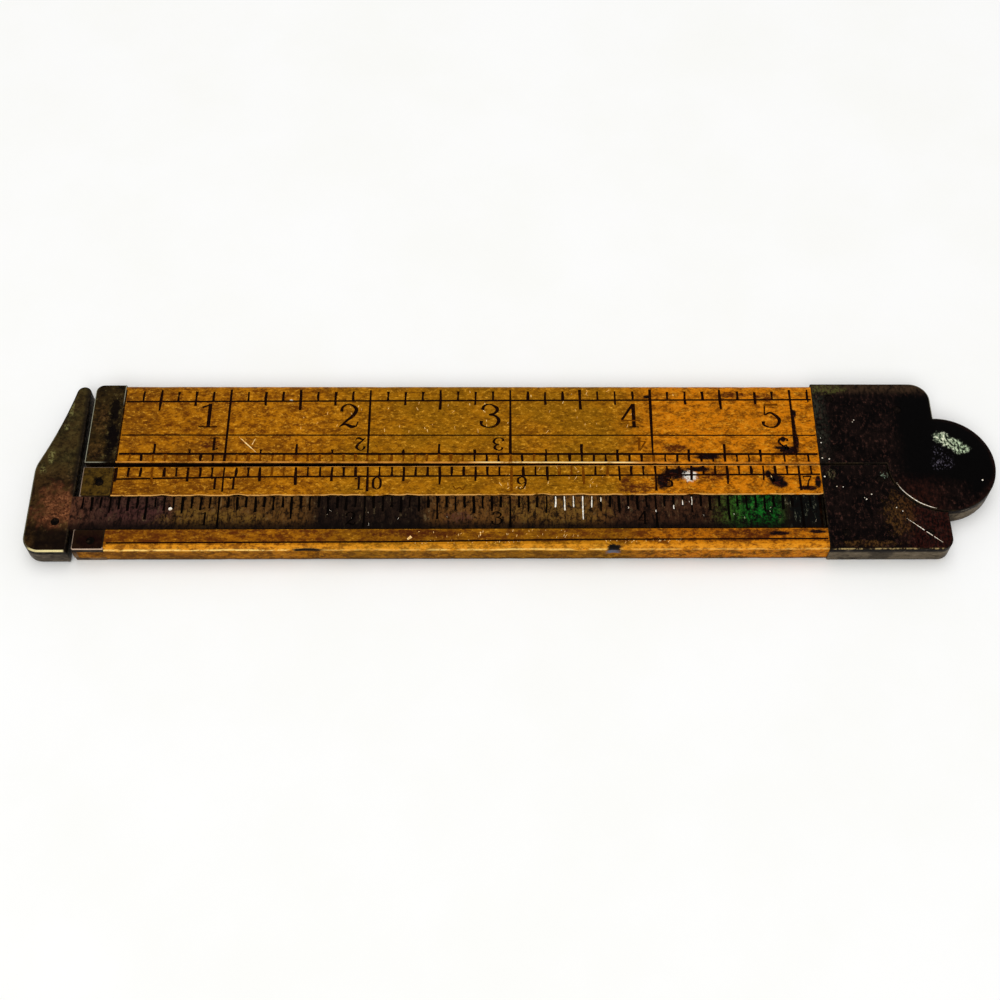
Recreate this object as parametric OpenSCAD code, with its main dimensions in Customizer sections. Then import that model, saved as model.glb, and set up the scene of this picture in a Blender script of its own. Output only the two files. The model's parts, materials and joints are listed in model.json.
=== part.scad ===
// Folding caliper rule: two boxwood legs on a brass knuckle joint, and a brass
// caliper that slides out of a dovetail groove in one of the legs.
// X runs along the folded rule from the jaw to the knuckle, Y across it from the
// caliper leg to the plain leg, and Z up through its thickness.

/* [Legs] */
// Distance from the zero of a leg's scale to the hinge axis
leg_len = 152.4; // [125:0.1:200]
// Width of one leg
leg_w = 16.7; // [15.6:0.1:22]
// Thickness of the whole rule
rule_t = 4; // [3.6:0.1:5.5]
// Gap between the legs when the rule is folded
leg_gap = 0.15; // [0.1:0.05:0.4]
// Angle that the legs stand open at rest
rest_angle = 0.2; // [0.05:0.05:1]
// Wear taken off the free end of each leg, back from the zero of its scale
end_wear = 0.5; // [0:0.1:1]

/* [Brass tips] */
// Length of the brass tip on the free end of each leg
tip_len = 5.5; // [4.5:0.1:9]
// Thickness of the wall across the end of a tip
tip_wall = 0.8; // [0.5:0.1:1.4]
// Radius worn on the outer corner of the plain leg's tip
plain_corner_r = 1.5; // [0.5:0.1:4]
// Radius worn on the outer corner of the caliper leg's tip
caliper_corner_r = 0.4; // [0.2:0.1:1]
// Distance of the tip rivets from the end face
tip_rivet_back = 3.2; // [2.2:0.1:3.4]
// Distance of the inner tip rivets from the inner edge of the leg
tip_rivet_inner = 3.3; // [2:0.1:4]
// Distance of the caliper leg's outer tip rivet from the outer edge
tip_rivet_outer = 1.7; // [1.2:0.1:2.2]
// Distance of the plain leg's outer tip rivet from the outer edge
plain_rivet_outer = 6.7; // [4:0.1:8]
// Radius of the rivets through tips, plates and jaw
rivet_r = 0.75; // [0.5:0.05:0.9]

/* [Knuckle joint] */
// Length of the joint plates, back from the hinge axis
joint_len = 21.5; // [18:0.1:30]
// How far the joint stands out past the wood's outer edge, which has shrunk
joint_over = 0.28; // [0:0.02:0.6]
// Thickness of each face plate
plate_t = 1; // [0.8:0.05:1.25]
// Radius of the round knuckle
knuckle_r = 9.6; // [8:0.1:10.4]
// Clearance around the knuckle's edge
knuckle_fit = 0.15; // [0.05:0.05:0.3]
// Running clearance between the knuckle's leaves
leaf_fit = 0.05; // [0.03:0.01:0.1]
// Gap from the butt end of each leg to the hinge axis
butt_gap = 0.1; // [0.05:0.05:0.3]
// Radius of the outer corner at the butt end of the plain leg
plain_butt_r = 3.5; // [1:0.1:4]
// Radius of the outer corner at the butt end of the caliper leg
caliper_butt_r = 2.2; // [1:0.1:4]
// Radius of the hinge pin
pin_r = 2.2; // [1.5:0.1:3]
// Radius of the hinge pin's riveted heads
pin_head_r = 3; // [2.6:0.1:4.5]
// Depth of the hinge pin's riveted heads
pin_head_t = 0.5; // [0.3:0.05:0.7]
// Running clearance around the hinge pin
pin_fit = 0.03; // [0.02:0.01:0.08]
// Distance of the plate rivets from the edges of the plates
plate_rivet_in = 3.2; // [2:0.1:3.6]
// Distance of the caliper leg's knuckle rivet from the knuckle's edge
near_rivet_gap = 2; // [1.4:0.1:3]
// Distance of the plain leg's knuckle rivet from the knuckle's edge
far_rivet_gap = 3.4; // [1.4:0.1:3.8]
// Length of the tangs that the joint's middle leaves run into the wood
tang_len = 13; // [11:0.1:20]
// Width of the tangs
tang_w = 3.4; // [2.4:0.1:3.6]
// Thickness of the tangs
tang_t = 1.2; // [0.8:0.1:1.5]
// Distance of a tang's middle line from the inner edge of the leg
tang_in = 3.2; // [2.6:0.1:3.3]
// Clearance of a tang in its mortise
tang_fit = 0.05; // [0.02:0.01:0.1]
// Distance of the caliper leg's tang pin from the joint plates
caliper_tang_pin = 8.6; // [2:0.1:9.5]
// Distance of the plain leg's tang pin from the joint plates
plain_tang_pin = 5.5; // [2:0.1:9.5]
// Radius of the tang pins
tang_pin_r = 0.7; // [0.4:0.05:0.9]

/* [Caliper] */
// Width of the slide's groove at the face of the leg
groove_w = 6.6; // [5.8:0.1:7]
// Wood left between the groove and the outer edge of the leg
groove_rib = 3.95; // [3.6:0.05:4.4]
// Undercut of the groove on each side
groove_flare = 0.6; // [0.3:0.05:0.7]
// Thickness of the leg left under the groove
floor_t = 1.4; // [1.1:0.1:1.8]
// Clearance of the slide in its groove
slide_fit = 0.05; // [0.03:0.01:0.1]
// Gap behind the slide's tail when the jaw is closed
tail_gap = 0.3; // [0.1:0.1:2]
// Gap between the closed jaw and the ends of the legs
close_gap = 0.05; // [0.03:0.01:0.1]
// Opening of the jaw at rest
jaw_rest = 0.75; // [0.1:0.05:5]
// Travel of the caliper from closed to fully out
travel = 101.6; // [60:0.1:102]
// Depth of the jaw, along the rule
jaw_depth = 7.8; // [7:0.1:12]
// Reach of the jaw's tip past the edge of the plain leg
jaw_tip_over = 0.2; // [0:0.05:1]
// Reach of the jaw's base past the edge of the caliper leg
jaw_base_over = 0.37; // [0:0.01:1]
// Radius of the jaw's tip
jaw_tip_r = 1.3; // [0.8:0.1:2]
// Radius of the corner at the jaw's base
jaw_base_r = 3; // [1:0.1:5]
// Height of the jaw's shoulder above the rule's middle line
shoulder_y = 1.1; // [0:0.1:3]
// Depth that the shoulder still lacks to the full depth of the jaw
shoulder_drop = 0.5; // [0.2:0.1:1]
// Hollow of the jaw's sloping edge
jaw_hollow = 0.36; // [0.1:0.02:0.6]
// Length of the slide's tenon in the jaw
tenon_len = 5; // [4:0.1:5.5]
// Shoulder left beside the tenon on each side
tenon_side = 0.5; // [0.3:0.1:0.8]
// Thickness of the jaw over the tenon
tenon_cover = 1; // [0.6:0.1:1.3]
// Clearance of the tenon in the jaw
tenon_fit = 0.02; // [0.01:0.01:0.05]
// Distance of the jaw's rivet from its inner face
jaw_rivet_back = 2.65; // [1.6:0.05:3.1]
// Distance of the jaw's rivet from the slide's middle line
jaw_rivet_off = 1.75; // [0:0.05:1.8]
// Distance of the stop pin from the end face of the leg
stop_back = 13; // [9:0.1:20]
// Radius of the stop pin
stop_r = 0.7; // [0.5:0.05:1]
// Height of the stop pin above the groove's floor
stop_rise = 0.8; // [0.5:0.05:1]
// Clearance of the stop pin in the slide's channel
stop_fit = 0.1; // [0.05:0.01:0.2]

/* [Hidden] */
$fn = 96;

boxwood = "#c58a32";
brass = "#6b5a2c";
bright_brass = "#9a8142";

// Overshoot of every cut past the face that it leaves
spare = 1;
// Steps in each arc of the jaw's outline
arc_steps = 10;
// Turn of the jaw's tip before its sloping edge starts
tip_turn = 12;
// Directions of the knuckle rivets, from the line of the folded rule
near_rivet_turn = 16;
far_rivet_turn = 61;

// Radii of each leg's outer corners, at its free end and at its butt end
plain_corners = [plain_corner_r, plain_butt_r];
caliper_corners = [caliper_corner_r, caliper_butt_r];

// A leg lies between inner_y and outer_y, from free_x to butt_x, and its joint reaches
// joint_y. The caliper leg is drawn on the same side as the plain leg and mirrored.
inner_y = leg_gap / 2;
outer_y = inner_y + leg_w;
joint_y = outer_y + joint_over;
free_x = end_wear;
tip_x = free_x + tip_len;
joint_x = leg_len - joint_len;
butt_x = leg_len - butt_gap;
hinge = [leg_len, 0];
top_z = rule_t - plate_t;
mid_z = rule_t / 2;

groove_y = outer_y - groove_rib - groove_w / 2;
tang_y = inner_y + tang_in;
stop_x = free_x + stop_back;
closed_x = free_x - close_gap;
tail_x = joint_x - tail_gap;

tip_rivet_x = free_x + tip_rivet_back;
caliper_tip_places = [[tip_rivet_x, inner_y + tip_rivet_inner], [tip_rivet_x, outer_y - tip_rivet_outer]];
plain_tip_places = [[tip_rivet_x, inner_y + tip_rivet_inner], [tip_rivet_x, outer_y - plain_rivet_outer]];

function round_knuckle(gap, turn) = hinge + (knuckle_r + gap) * [-cos(turn), sin(turn)];
plate_corner = [joint_x + plate_rivet_in, joint_y - plate_rivet_in];
caliper_plate_places = [
    round_knuckle(near_rivet_gap, near_rivet_turn),
    plate_corner,
    [butt_x - caliper_butt_r - plate_rivet_in / 2, joint_y - plate_rivet_in]
];
plain_plate_places = [
    round_knuckle(far_rivet_gap, far_rivet_turn),
    plate_corner,
    [joint_x + plate_rivet_in, inner_y + plate_rivet_in]
];
caliper_tang_place = [joint_x - caliper_tang_pin, tang_y];
plain_tang_place = [joint_x - plain_tang_pin, tang_y];
jaw_rivet_place = [closed_x - jaw_rivet_back, groove_y + jaw_rivet_off];

// The origin is under the middle of the resting rule.
jaw_left = closed_x - jaw_rest - jaw_depth;
knuckle_right = leg_len + knuckle_r;
plain_corner = [free_x + plain_corner_r - leg_len, outer_y - plain_corner_r];
plain_reach = plain_corner_r + plain_corner.y * cos(rest_angle) - plain_corner.x * sin(rest_angle);
jaw_tip_y = outer_y + jaw_tip_over;
jaw_base_y = outer_y + jaw_base_over;
middle = [(jaw_left + knuckle_right) / 2, (max(plain_reach, jaw_tip_y) - jaw_base_y) / 2];

// Places of the three bodies

module on_caliper_leg() {
    translate([-middle.x, -middle.y, 0])
        mirror([0, 1, 0])
            children();
}

module on_plain_leg() {
    translate([hinge.x - middle.x, hinge.y - middle.y, 0])
        rotate([0, 0, -rest_angle])
            translate([-hinge.x, -hinge.y, 0])
                children();
}

module on_caliper() {
    translate([-jaw_rest - middle.x, -middle.y, 0])
        mirror([0, 1, 0])
            children();
}

// Shapes that the sub-parts share

// What a round corner takes off at a point on the outer edge. side is -1 at the free
// end of a leg and 1 at its butt end.
module corner_waste(x, y, r, side) {
    difference() {
        translate([side > 0 ? x - r : x - spare, y - r])
            square(r + spare);
        translate([x - side * r, y - r])
            circle(r);
    }
}

module leg_outline(corners, edge_y) {
    difference() {
        translate([free_x, inner_y])
            square([butt_x - free_x, edge_y - inner_y]);
        corner_waste(free_x, edge_y, corners[0], -1);
        corner_waste(butt_x, edge_y, corners[1], 1);
    }
}

// The part of a leg's outline from x0 to x1, between the heights z0 and z1
module leg_slab(corners, x0, x1, z0, z1, edge_y = outer_y) {
    translate([0, 0, z0])
        linear_extrude(z1 - z0)
            intersection() {
                leg_outline(corners, edge_y);
                translate([x0, inner_y - spare])
                    square([x1 - x0, edge_y - inner_y + 2 * spare]);
            }
}

module knuckle_disc(r, z0, z1) {
    translate([hinge.x, hinge.y, z0])
        cylinder(h = z1 - z0, r = r);
}

// Upright pins at a list of places, from the underside up
module pins(places, r, h = rule_t) {
    for (place = places)
        translate([place.x, place.y, 0])
            cylinder(h = h, r = r);
}

// Holes right through for such pins
module pin_holes(places, r) {
    for (place = places)
        translate([place.x, place.y, -spare])
            cylinder(h = rule_t + 2 * spare, r = r);
}

module tang(fit) {
    translate([joint_x - tang_len - fit, tang_y - tang_w / 2 - fit, mid_z - tang_t / 2 - fit])
        cube([tang_len + fit + spare, tang_w + 2 * fit, tang_t + 2 * fit]);
}

// A dovetail bar along X whose sides lie fit inside the groove's. rise carries a cut
// past the face.
module dovetail(x0, x1, fit, rise) {
    half_top = groove_w / 2 - fit;
    half_floor = half_top + groove_flare;
    translate([x0, groove_y, 0])
        rotate([90, 0, 90])
            linear_extrude(x1 - x0)
                polygon([
                    [-half_floor, floor_t + fit], [half_floor, floor_t + fit],
                    [half_top, rule_t], [half_top, rule_t + rise],
                    [-half_top, rule_t + rise], [-half_top, rule_t]
                ]);
}

module leg_wood(corners) {
    leg_slab(corners, tip_x, joint_x, 0, rule_t);
    leg_slab(corners, free_x + tip_wall, joint_x, plate_t, top_z);
}

module tip_shell(corners) {
    leg_slab(corners, free_x, tip_x, 0, plate_t);
    leg_slab(corners, free_x, tip_x, top_z, rule_t);
    leg_slab(corners, free_x, free_x + tip_wall, 0, rule_t);
}

module joint_plate(corners, z0) {
    leg_slab(corners, joint_x, butt_x, z0, z0 + plate_t, joint_y);
}

// The middle of a leg's joint outside the knuckle, with the tang into the wood
module joint_core(corners) {
    difference() {
        leg_slab(corners, joint_x, butt_x, plate_t, top_z, joint_y);
        knuckle_disc(knuckle_r + knuckle_fit, 0, rule_t);
    }
    intersection() {
        tang(0);
        translate([0, 0, plate_t])
            cube([joint_x + spare, outer_y, top_z - plate_t]);
    }
}

// The hinge pin with its two riveted heads
module hinge_pin(fit) {
    translate([hinge.x, hinge.y, -fit])
        cylinder(h = rule_t + 2 * fit, r = pin_r);
    translate([hinge.x, hinge.y, 0])
        cylinder(h = pin_head_t, r1 = pin_head_r, r2 = pin_r);
    translate([hinge.x, hinge.y, rule_t - pin_head_t])
        cylinder(h = pin_head_t, r1 = pin_r, r2 = pin_head_r);
}

// The jaw's outline: u runs from its inner face back, v up towards its tip.

function turned(angle) = [cos(angle), sin(angle)];
function arc(c, r, from, to) = [for (i = [0:arc_steps]) c + r * turned(from + (to - from) * i / arc_steps)];

tip_centre = [jaw_tip_r, jaw_tip_y - jaw_tip_r];
slope_top = tip_centre + jaw_tip_r * turned(tip_turn);
slope_foot = [jaw_depth - shoulder_drop, shoulder_y];
slope_run = slope_foot - slope_top;
slope_len = norm(slope_run);
slope_dir = slope_run / slope_len;
slope_out = [-slope_dir.y, slope_dir.x];
hollow_r = slope_len * slope_len / (8 * jaw_hollow) + jaw_hollow / 2;
hollow_half = asin(slope_len / (2 * hollow_r));
hollow_centre = (slope_top + slope_foot) / 2 + slope_out * (hollow_r - jaw_hollow);
hollow_turn = atan2(-slope_out.y, -slope_out.x);
foot_turn = atan2(slope_dir.x, -slope_dir.y) + hollow_half;
shoulder_r = shoulder_drop / (1 - cos(foot_turn));
shoulder_centre = slope_foot - shoulder_r * turned(foot_turn);

jaw_points = concat(
    [[0, -jaw_base_y]],
    arc([jaw_depth - jaw_base_r, jaw_base_r - jaw_base_y], jaw_base_r, -90, 0),
    arc(shoulder_centre, shoulder_r, 0, foot_turn),
    arc(hollow_centre, hollow_r, hollow_turn + hollow_half, hollow_turn - hollow_half),
    arc(tip_centre, jaw_tip_r, tip_turn, 180)
);

module slide_tenon(fit) {
    half = groove_w / 2 - tenon_side + fit;
    translate([closed_x - tenon_len - fit, groove_y - half, floor_t + slide_fit - fit])
        cube([tenon_len + fit + spare, 2 * half, rule_t - tenon_cover - floor_t - slide_fit + 2 * fit]);
}

// Sub-parts of the caliper leg

module caliper_leg_stock() {
    color(boxwood)
        on_caliper_leg()
            difference() {
                leg_wood(caliper_corners);
                dovetail(0, joint_x + spare, 0, spare);
                tang(tang_fit);
                pin_holes(caliper_tip_places, rivet_r);
                pin_holes([caliper_tang_place], tang_pin_r);
                pin_holes([[stop_x, groove_y]], stop_r);
            }
}

module caliper_leg_tip() {
    color(brass)
        on_caliper_leg()
            difference() {
                tip_shell(caliper_corners);
                dovetail(-spare, tip_x + spare, 0, spare);
                pin_holes(caliper_tip_places, rivet_r);
            }
}

module caliper_leg_tip_rivets() {
    color(bright_brass)
        on_caliper_leg()
            pins(caliper_tip_places, rivet_r);
}

module hinge_tongue() {
    color(brass)
        on_caliper_leg()
            difference() {
                union() {
                    joint_core(caliper_corners);
                    leg_slab(caliper_corners, joint_x, butt_x, plate_t + leaf_fit, top_z - leaf_fit, joint_y);
                    knuckle_disc(knuckle_r, plate_t + leaf_fit, top_z - leaf_fit);
                }
                pin_holes([hinge], pin_r + pin_fit);
                pin_holes(caliper_plate_places, rivet_r);
                pin_holes([caliper_tang_place], tang_pin_r);
            }
}

module caliper_leg_plate(z0) {
    on_caliper_leg()
        difference() {
            joint_plate(caliper_corners, z0);
            knuckle_disc(knuckle_r + knuckle_fit, -spare, rule_t + spare);
            pin_holes(caliper_plate_places, rivet_r);
        }
}

module caliper_leg_top_plate() {
    color(brass)
        caliper_leg_plate(top_z);
}

module caliper_leg_bottom_plate() {
    color(brass)
        caliper_leg_plate(0);
}

module caliper_leg_plate_rivets() {
    color(bright_brass)
        on_caliper_leg()
            pins(caliper_plate_places, rivet_r);
}

module caliper_leg_tang_pin() {
    color(bright_brass)
        on_caliper_leg()
            pins([caliper_tang_place], tang_pin_r);
}

module slide_stop_pin() {
    color(bright_brass)
        on_caliper_leg()
            pins([[stop_x, groove_y]], stop_r, floor_t + stop_rise);
}

// Sub-parts of the plain leg

module plain_leg_stock() {
    color(boxwood)
        on_plain_leg()
            difference() {
                leg_wood(plain_corners);
                tang(tang_fit);
                pin_holes(plain_tip_places, rivet_r);
                pin_holes([plain_tang_place], tang_pin_r);
            }
}

module plain_leg_tip() {
    color(brass)
        on_plain_leg()
            difference() {
                tip_shell(plain_corners);
                pin_holes(plain_tip_places, rivet_r);
            }
}

module plain_leg_tip_rivets() {
    color(bright_brass)
        on_plain_leg()
            pins(plain_tip_places, rivet_r);
}

module hinge_filler() {
    color(brass)
        on_plain_leg()
            difference() {
                joint_core(plain_corners);
                pin_holes(plain_plate_places, rivet_r);
                pin_holes([plain_tang_place], tang_pin_r);
            }
}

module hinge_leaf(z0) {
    on_plain_leg()
        difference() {
            union() {
                joint_plate(plain_corners, z0);
                knuckle_disc(knuckle_r, z0, z0 + plate_t);
            }
            hinge_pin(spare);
            pin_holes(plain_plate_places, rivet_r);
        }
}

module hinge_top_leaf() {
    color(brass)
        hinge_leaf(top_z);
}

module hinge_bottom_leaf() {
    color(brass)
        hinge_leaf(0);
}

module plain_leg_plate_rivets() {
    color(bright_brass)
        on_plain_leg()
            pins(plain_plate_places, rivet_r);
}

module plain_leg_tang_pin() {
    color(bright_brass)
        on_plain_leg()
            pins([plain_tang_place], tang_pin_r);
}

module hinge_pivot_pin() {
    color(bright_brass)
        on_plain_leg()
            hinge_pin(0);
}

// Sub-parts of the caliper

module caliper_slide() {
    channel_w = 2 * (stop_r + stop_fit);
    channel_from = stop_x - stop_r - stop_fit;
    color(brass)
        on_caliper()
            difference() {
                union() {
                    dovetail(closed_x, tail_x, slide_fit, 0);
                    slide_tenon(0);
                }
                translate([channel_from, groove_y - channel_w / 2, -spare])
                    cube([travel + channel_w, channel_w, spare + floor_t + stop_rise + stop_fit]);
                pin_holes([jaw_rivet_place], rivet_r);
            }
}

module caliper_jaw() {
    color(brass)
        on_caliper()
            difference() {
                linear_extrude(rule_t)
                    polygon([for (p = jaw_points) [closed_x - p.x, -p.y]]);
                slide_tenon(tenon_fit);
                pin_holes([jaw_rivet_place], rivet_r);
            }
}

module jaw_rivet() {
    color(bright_brass)
        on_caliper()
            pins([jaw_rivet_place], rivet_r);
}

caliper_leg_stock();
caliper_leg_tip();
caliper_leg_tip_rivets();
hinge_tongue();
caliper_leg_top_plate();
caliper_leg_bottom_plate();
caliper_leg_plate_rivets();
caliper_leg_tang_pin();
slide_stop_pin();
plain_leg_stock();
plain_leg_tip();
plain_leg_tip_rivets();
hinge_filler();
hinge_top_leaf();
hinge_bottom_leaf();
plain_leg_plate_rivets();
plain_leg_tang_pin();
hinge_pivot_pin();
caliper_slide();
caliper_jaw();
jaw_rivet();
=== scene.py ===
import json
import math
import random

import bmesh
import bpy
from mathutils import Matrix, Vector, noise
from mathutils.geometry import delaunay_2d_cdt, tessellate_polygon

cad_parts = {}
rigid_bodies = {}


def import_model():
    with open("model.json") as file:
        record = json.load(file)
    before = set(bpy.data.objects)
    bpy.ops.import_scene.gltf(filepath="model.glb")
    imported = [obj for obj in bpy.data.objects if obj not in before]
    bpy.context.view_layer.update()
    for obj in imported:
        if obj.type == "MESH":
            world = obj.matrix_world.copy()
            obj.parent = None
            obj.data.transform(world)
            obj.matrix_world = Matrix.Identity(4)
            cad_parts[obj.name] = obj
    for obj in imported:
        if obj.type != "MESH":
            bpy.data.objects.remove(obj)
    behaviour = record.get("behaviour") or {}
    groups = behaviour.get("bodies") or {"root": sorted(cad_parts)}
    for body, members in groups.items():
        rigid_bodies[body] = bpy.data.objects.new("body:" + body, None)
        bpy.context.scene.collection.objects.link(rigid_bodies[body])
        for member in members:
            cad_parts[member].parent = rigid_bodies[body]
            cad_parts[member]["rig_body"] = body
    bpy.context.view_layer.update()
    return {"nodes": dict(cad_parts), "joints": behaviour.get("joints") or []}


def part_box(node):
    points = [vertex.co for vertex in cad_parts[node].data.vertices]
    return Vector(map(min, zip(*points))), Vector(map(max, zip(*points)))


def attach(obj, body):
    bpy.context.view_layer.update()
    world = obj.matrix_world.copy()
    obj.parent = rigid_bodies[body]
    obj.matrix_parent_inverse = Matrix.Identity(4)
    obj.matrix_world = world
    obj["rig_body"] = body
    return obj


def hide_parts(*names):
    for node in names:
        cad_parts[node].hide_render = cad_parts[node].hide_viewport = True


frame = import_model()

# Shapes are planned in the rule's own millimetres: X from the zero of the scales, Y
# across the rule from the line between the folded legs, Z up from the underside.
MM = 0.001
INCH = 25.4
LEG_LEN = 6 * INCH
RULE_T = round(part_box("hinge_pivot_pin")[1].z / MM, 3)

hinge = next(joint for joint in frame["joints"] if joint["name"] == "leg_hinge")
PIVOT = Vector(hinge["pos_m"])
REST_ANGLE = -math.radians(hinge["range_deg"][0])
from_pivot = Matrix.Translation((-LEG_LEN, 0, 0))
to_row = Matrix.Translation((PIVOT.x, PIVOT.y, 0)) @ Matrix.Scale(MM, 4) @ from_pivot
open_turn = Matrix.Translation((LEG_LEN, 0, 0)) @ Matrix.Rotation(-REST_ANGLE, 4, "Z") @ from_pivot
FROM_RULE = {"caliper_leg": to_row, "plain_leg": to_row @ open_turn, "caliper": to_row}
BODY_OF = {name: obj["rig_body"] for name, obj in frame["nodes"].items()}
chance = random.Random(36)

# Slots that the wooden and the brass pieces share
FACE, INK, EDGE, SIDE, PALE, FAINT = range(6)


# Outlines read from the frame

# The least share along its axis of a flat face's normal, and the most that it is off its plane
FLAT_SHARE, OFF_PLANE = 0.999, 0.002
# The most that a point may be off a straight run, and the sharpest corner that is inset in full
OFF_LINE, SHARPEST = 0.0008, 0.3


def rule_points(node):
    """A CAD node's points in the rule's millimetres, with the legs folded flat together."""
    back = FROM_RULE[BODY_OF[node]].inverted()
    return [back @ v.co for v in frame["nodes"][node].data.vertices]


def rule_box(node):
    spots = rule_points(node)
    return [tuple(round(pick(p[i] for p in spots), 3) for i in range(3)) for pick in (min, max)]


def flat_loops(node, axis, at, sign):
    """Outlines of a CAD node's flat faces that look along an axis, where that axis is at a value.

    The widest loop comes first.
    """
    spots = rule_points(node)
    others = [i for i in range(3) if i != axis]
    edges = {}
    for face in frame["nodes"][node].data.polygons:
        points = [spots[i] for i in face.vertices]
        normal = (points[1] - points[0]).cross(points[2] - points[0])
        if normal.length == 0 or normal.normalized()[axis] * sign < FLAT_SHARE:
            continue
        if any(abs(p[axis] - at) > OFF_PLANE for p in points):
            continue
        keys = [tuple(round(p[i], 3) for i in others) for p in points]
        for a, b in sides(keys):
            if (b, a) in edges:
                del edges[(b, a)]
            else:
                edges[(a, b)] = True
    onward = {a: b for a, b in edges if a != b}
    loops = []
    while onward:
        first, here = onward.popitem()
        loop = [first]
        while here != first and here in onward:
            loop.append(here)
            here = onward.pop(here)
        loops.append(anticlockwise(loop))
    return sorted(loops, key=area, reverse=True)


def sides(loop):
    """Each point of a loop with the next one."""
    return zip(loop, loop[1:] + loop[:1])


def area(loop):
    return sum(a[0] * b[1] - b[0] * a[1] for a, b in sides(loop)) / 2


def anticlockwise(loop):
    return list(loop) if area(loop) > 0 else list(reversed(loop))


def corners(loop):
    """Each point of a loop, between the one before and the one after."""
    return zip(loop[-1:] + loop[:-1], loop, loop[1:] + loop[:1])


def straightened(loop):
    """The loop without the points that lie on a straight run."""
    kept = []
    for a, p, b in corners(loop):
        run = math.dist(a, b)
        off = abs((b[0] - a[0]) * (p[1] - a[1]) - (b[1] - a[1]) * (p[0] - a[0]))
        if run == 0 or off / run > OFF_LINE:
            kept.append(p)
    return kept


def inset(loop, depth):
    """The loop moved inwards by a depth, corner by corner."""
    moved = []
    for before, p, after in corners(loop):
        into = []
        for a, b in ((before, p), (p, after)):
            run = math.dist(a, b)
            into.append(((a[1] - b[1]) / run, (b[0] - a[0]) / run))
        (u0, v0), (u1, v1) = into
        step = depth / max(1 + u0 * u1 + v0 * v1, SHARPEST)
        moved.append((p[0] + (u0 + u1) * step, p[1] + (v0 + v1) * step))
    return moved


def rounded(loop, radius_at, steps=4):
    """The loop with its outward corners turned into arcs. radius_at(corner) gives each radius."""
    points = []
    for before, p, after in corners(loop):
        a, b = Vector(before) - Vector(p), Vector(after) - Vector(p)
        radius = radius_at(p)
        if a.x * b.y - a.y * b.x > 0 or radius == 0:
            points.append(p)
            continue
        half = a.angle(b) / 2
        back = radius / math.tan(half)
        a.normalize()
        b.normalize()
        start, end = Vector(p) + a * back, Vector(p) + b * back
        centre = Vector(p) + (a + b).normalized() * radius / math.sin(half)
        for k in range(steps + 1):
            ray = (start - centre).lerp(end - centre, k / steps)
            points.append(tuple(centre + ray.normalized() * radius))
    return points


def clipped(loop, axis, limit, keep):
    """The part of an outline where the coordinate on an axis is above (1) or below (-1) a limit."""
    kept = []
    for before, p, _ in corners(loop):
        if (p[axis] - limit) * (before[axis] - limit) < 0:
            share = (limit - before[axis]) / (p[axis] - before[axis])
            kept.append(tuple(a + (b - a) * share for a, b in zip(before, p)))
        if (p[axis] - limit) * keep >= 0:
            kept.append(p)
    return kept


# Marks: strokes and areas that are cut into a flat face

INK_DEPTH, NICK_DEPTH, BARE_DEPTH = 0.08, 0.03, 0.1


class Mark:
    """A patch of a flat face, sunk by a depth and finished with one of the piece's slots."""

    def __init__(self, outline, depth=INK_DEPTH, slot=INK):
        self.outline = anticlockwise([(p[0], p[1]) for p in outline])
        self.depth = depth
        self.slot = slot


def bar_mark(a, b, width, **finish):
    a, b = Vector(a), Vector(b)
    side = Vector((a.y - b.y, b.x - a.x)).normalized() * width / 2
    return Mark([a - side, b - side, b + side, a + side], **finish)


def ruled(points, width):
    """A scribed line through points, which end to end may bend a little."""
    return [bar_mark(a, b, width) for a, b in zip(points, points[1:])]


def stroke_outline(points):
    """The outline of a pen stroke through points (x, y, width), in smooth curves."""
    spots = [Vector(p) for p in points]
    ends = [2 * spots[0] - spots[1], *spots, 2 * spots[-1] - spots[-2]]
    line = []
    steps = 5 if len(spots) > 2 else 1
    for p0, p1, p2, p3 in zip(ends, ends[1:], ends[2:], ends[3:]):
        for k in range(steps):
            t = k / steps
            line.append(0.5 * (2 * p1 + (p2 - p0) * t + (2 * p0 - 5 * p1 + 4 * p2 - p3) * t * t
                               + (3 * p1 - p0 - 3 * p2 + p3) * t * t * t))
    line.append(spots[-1])
    left, right = [], []
    for i, p in enumerate(line):
        run = line[min(i + 1, len(line) - 1)] - line[max(i - 1, 0)]
        side = Vector((-run.y, run.x)).normalized() * p.z / 2
        left.append((p.x + side.x, p.y + side.y))
        right.append((p.x - side.x, p.y - side.y))
    return left + right[::-1]


def scratch(points):
    return Mark(stroke_outline(points), depth=NICK_DEPTH, slot=PALE)


def dot(x, y, r):
    """A small round nick."""
    turns = [math.pi * k / 4 for k in range(8)]
    return Mark([(x + r * math.cos(t), y + r * math.sin(t)) for t in turns], depth=NICK_DEPTH, slot=PALE)


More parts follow.
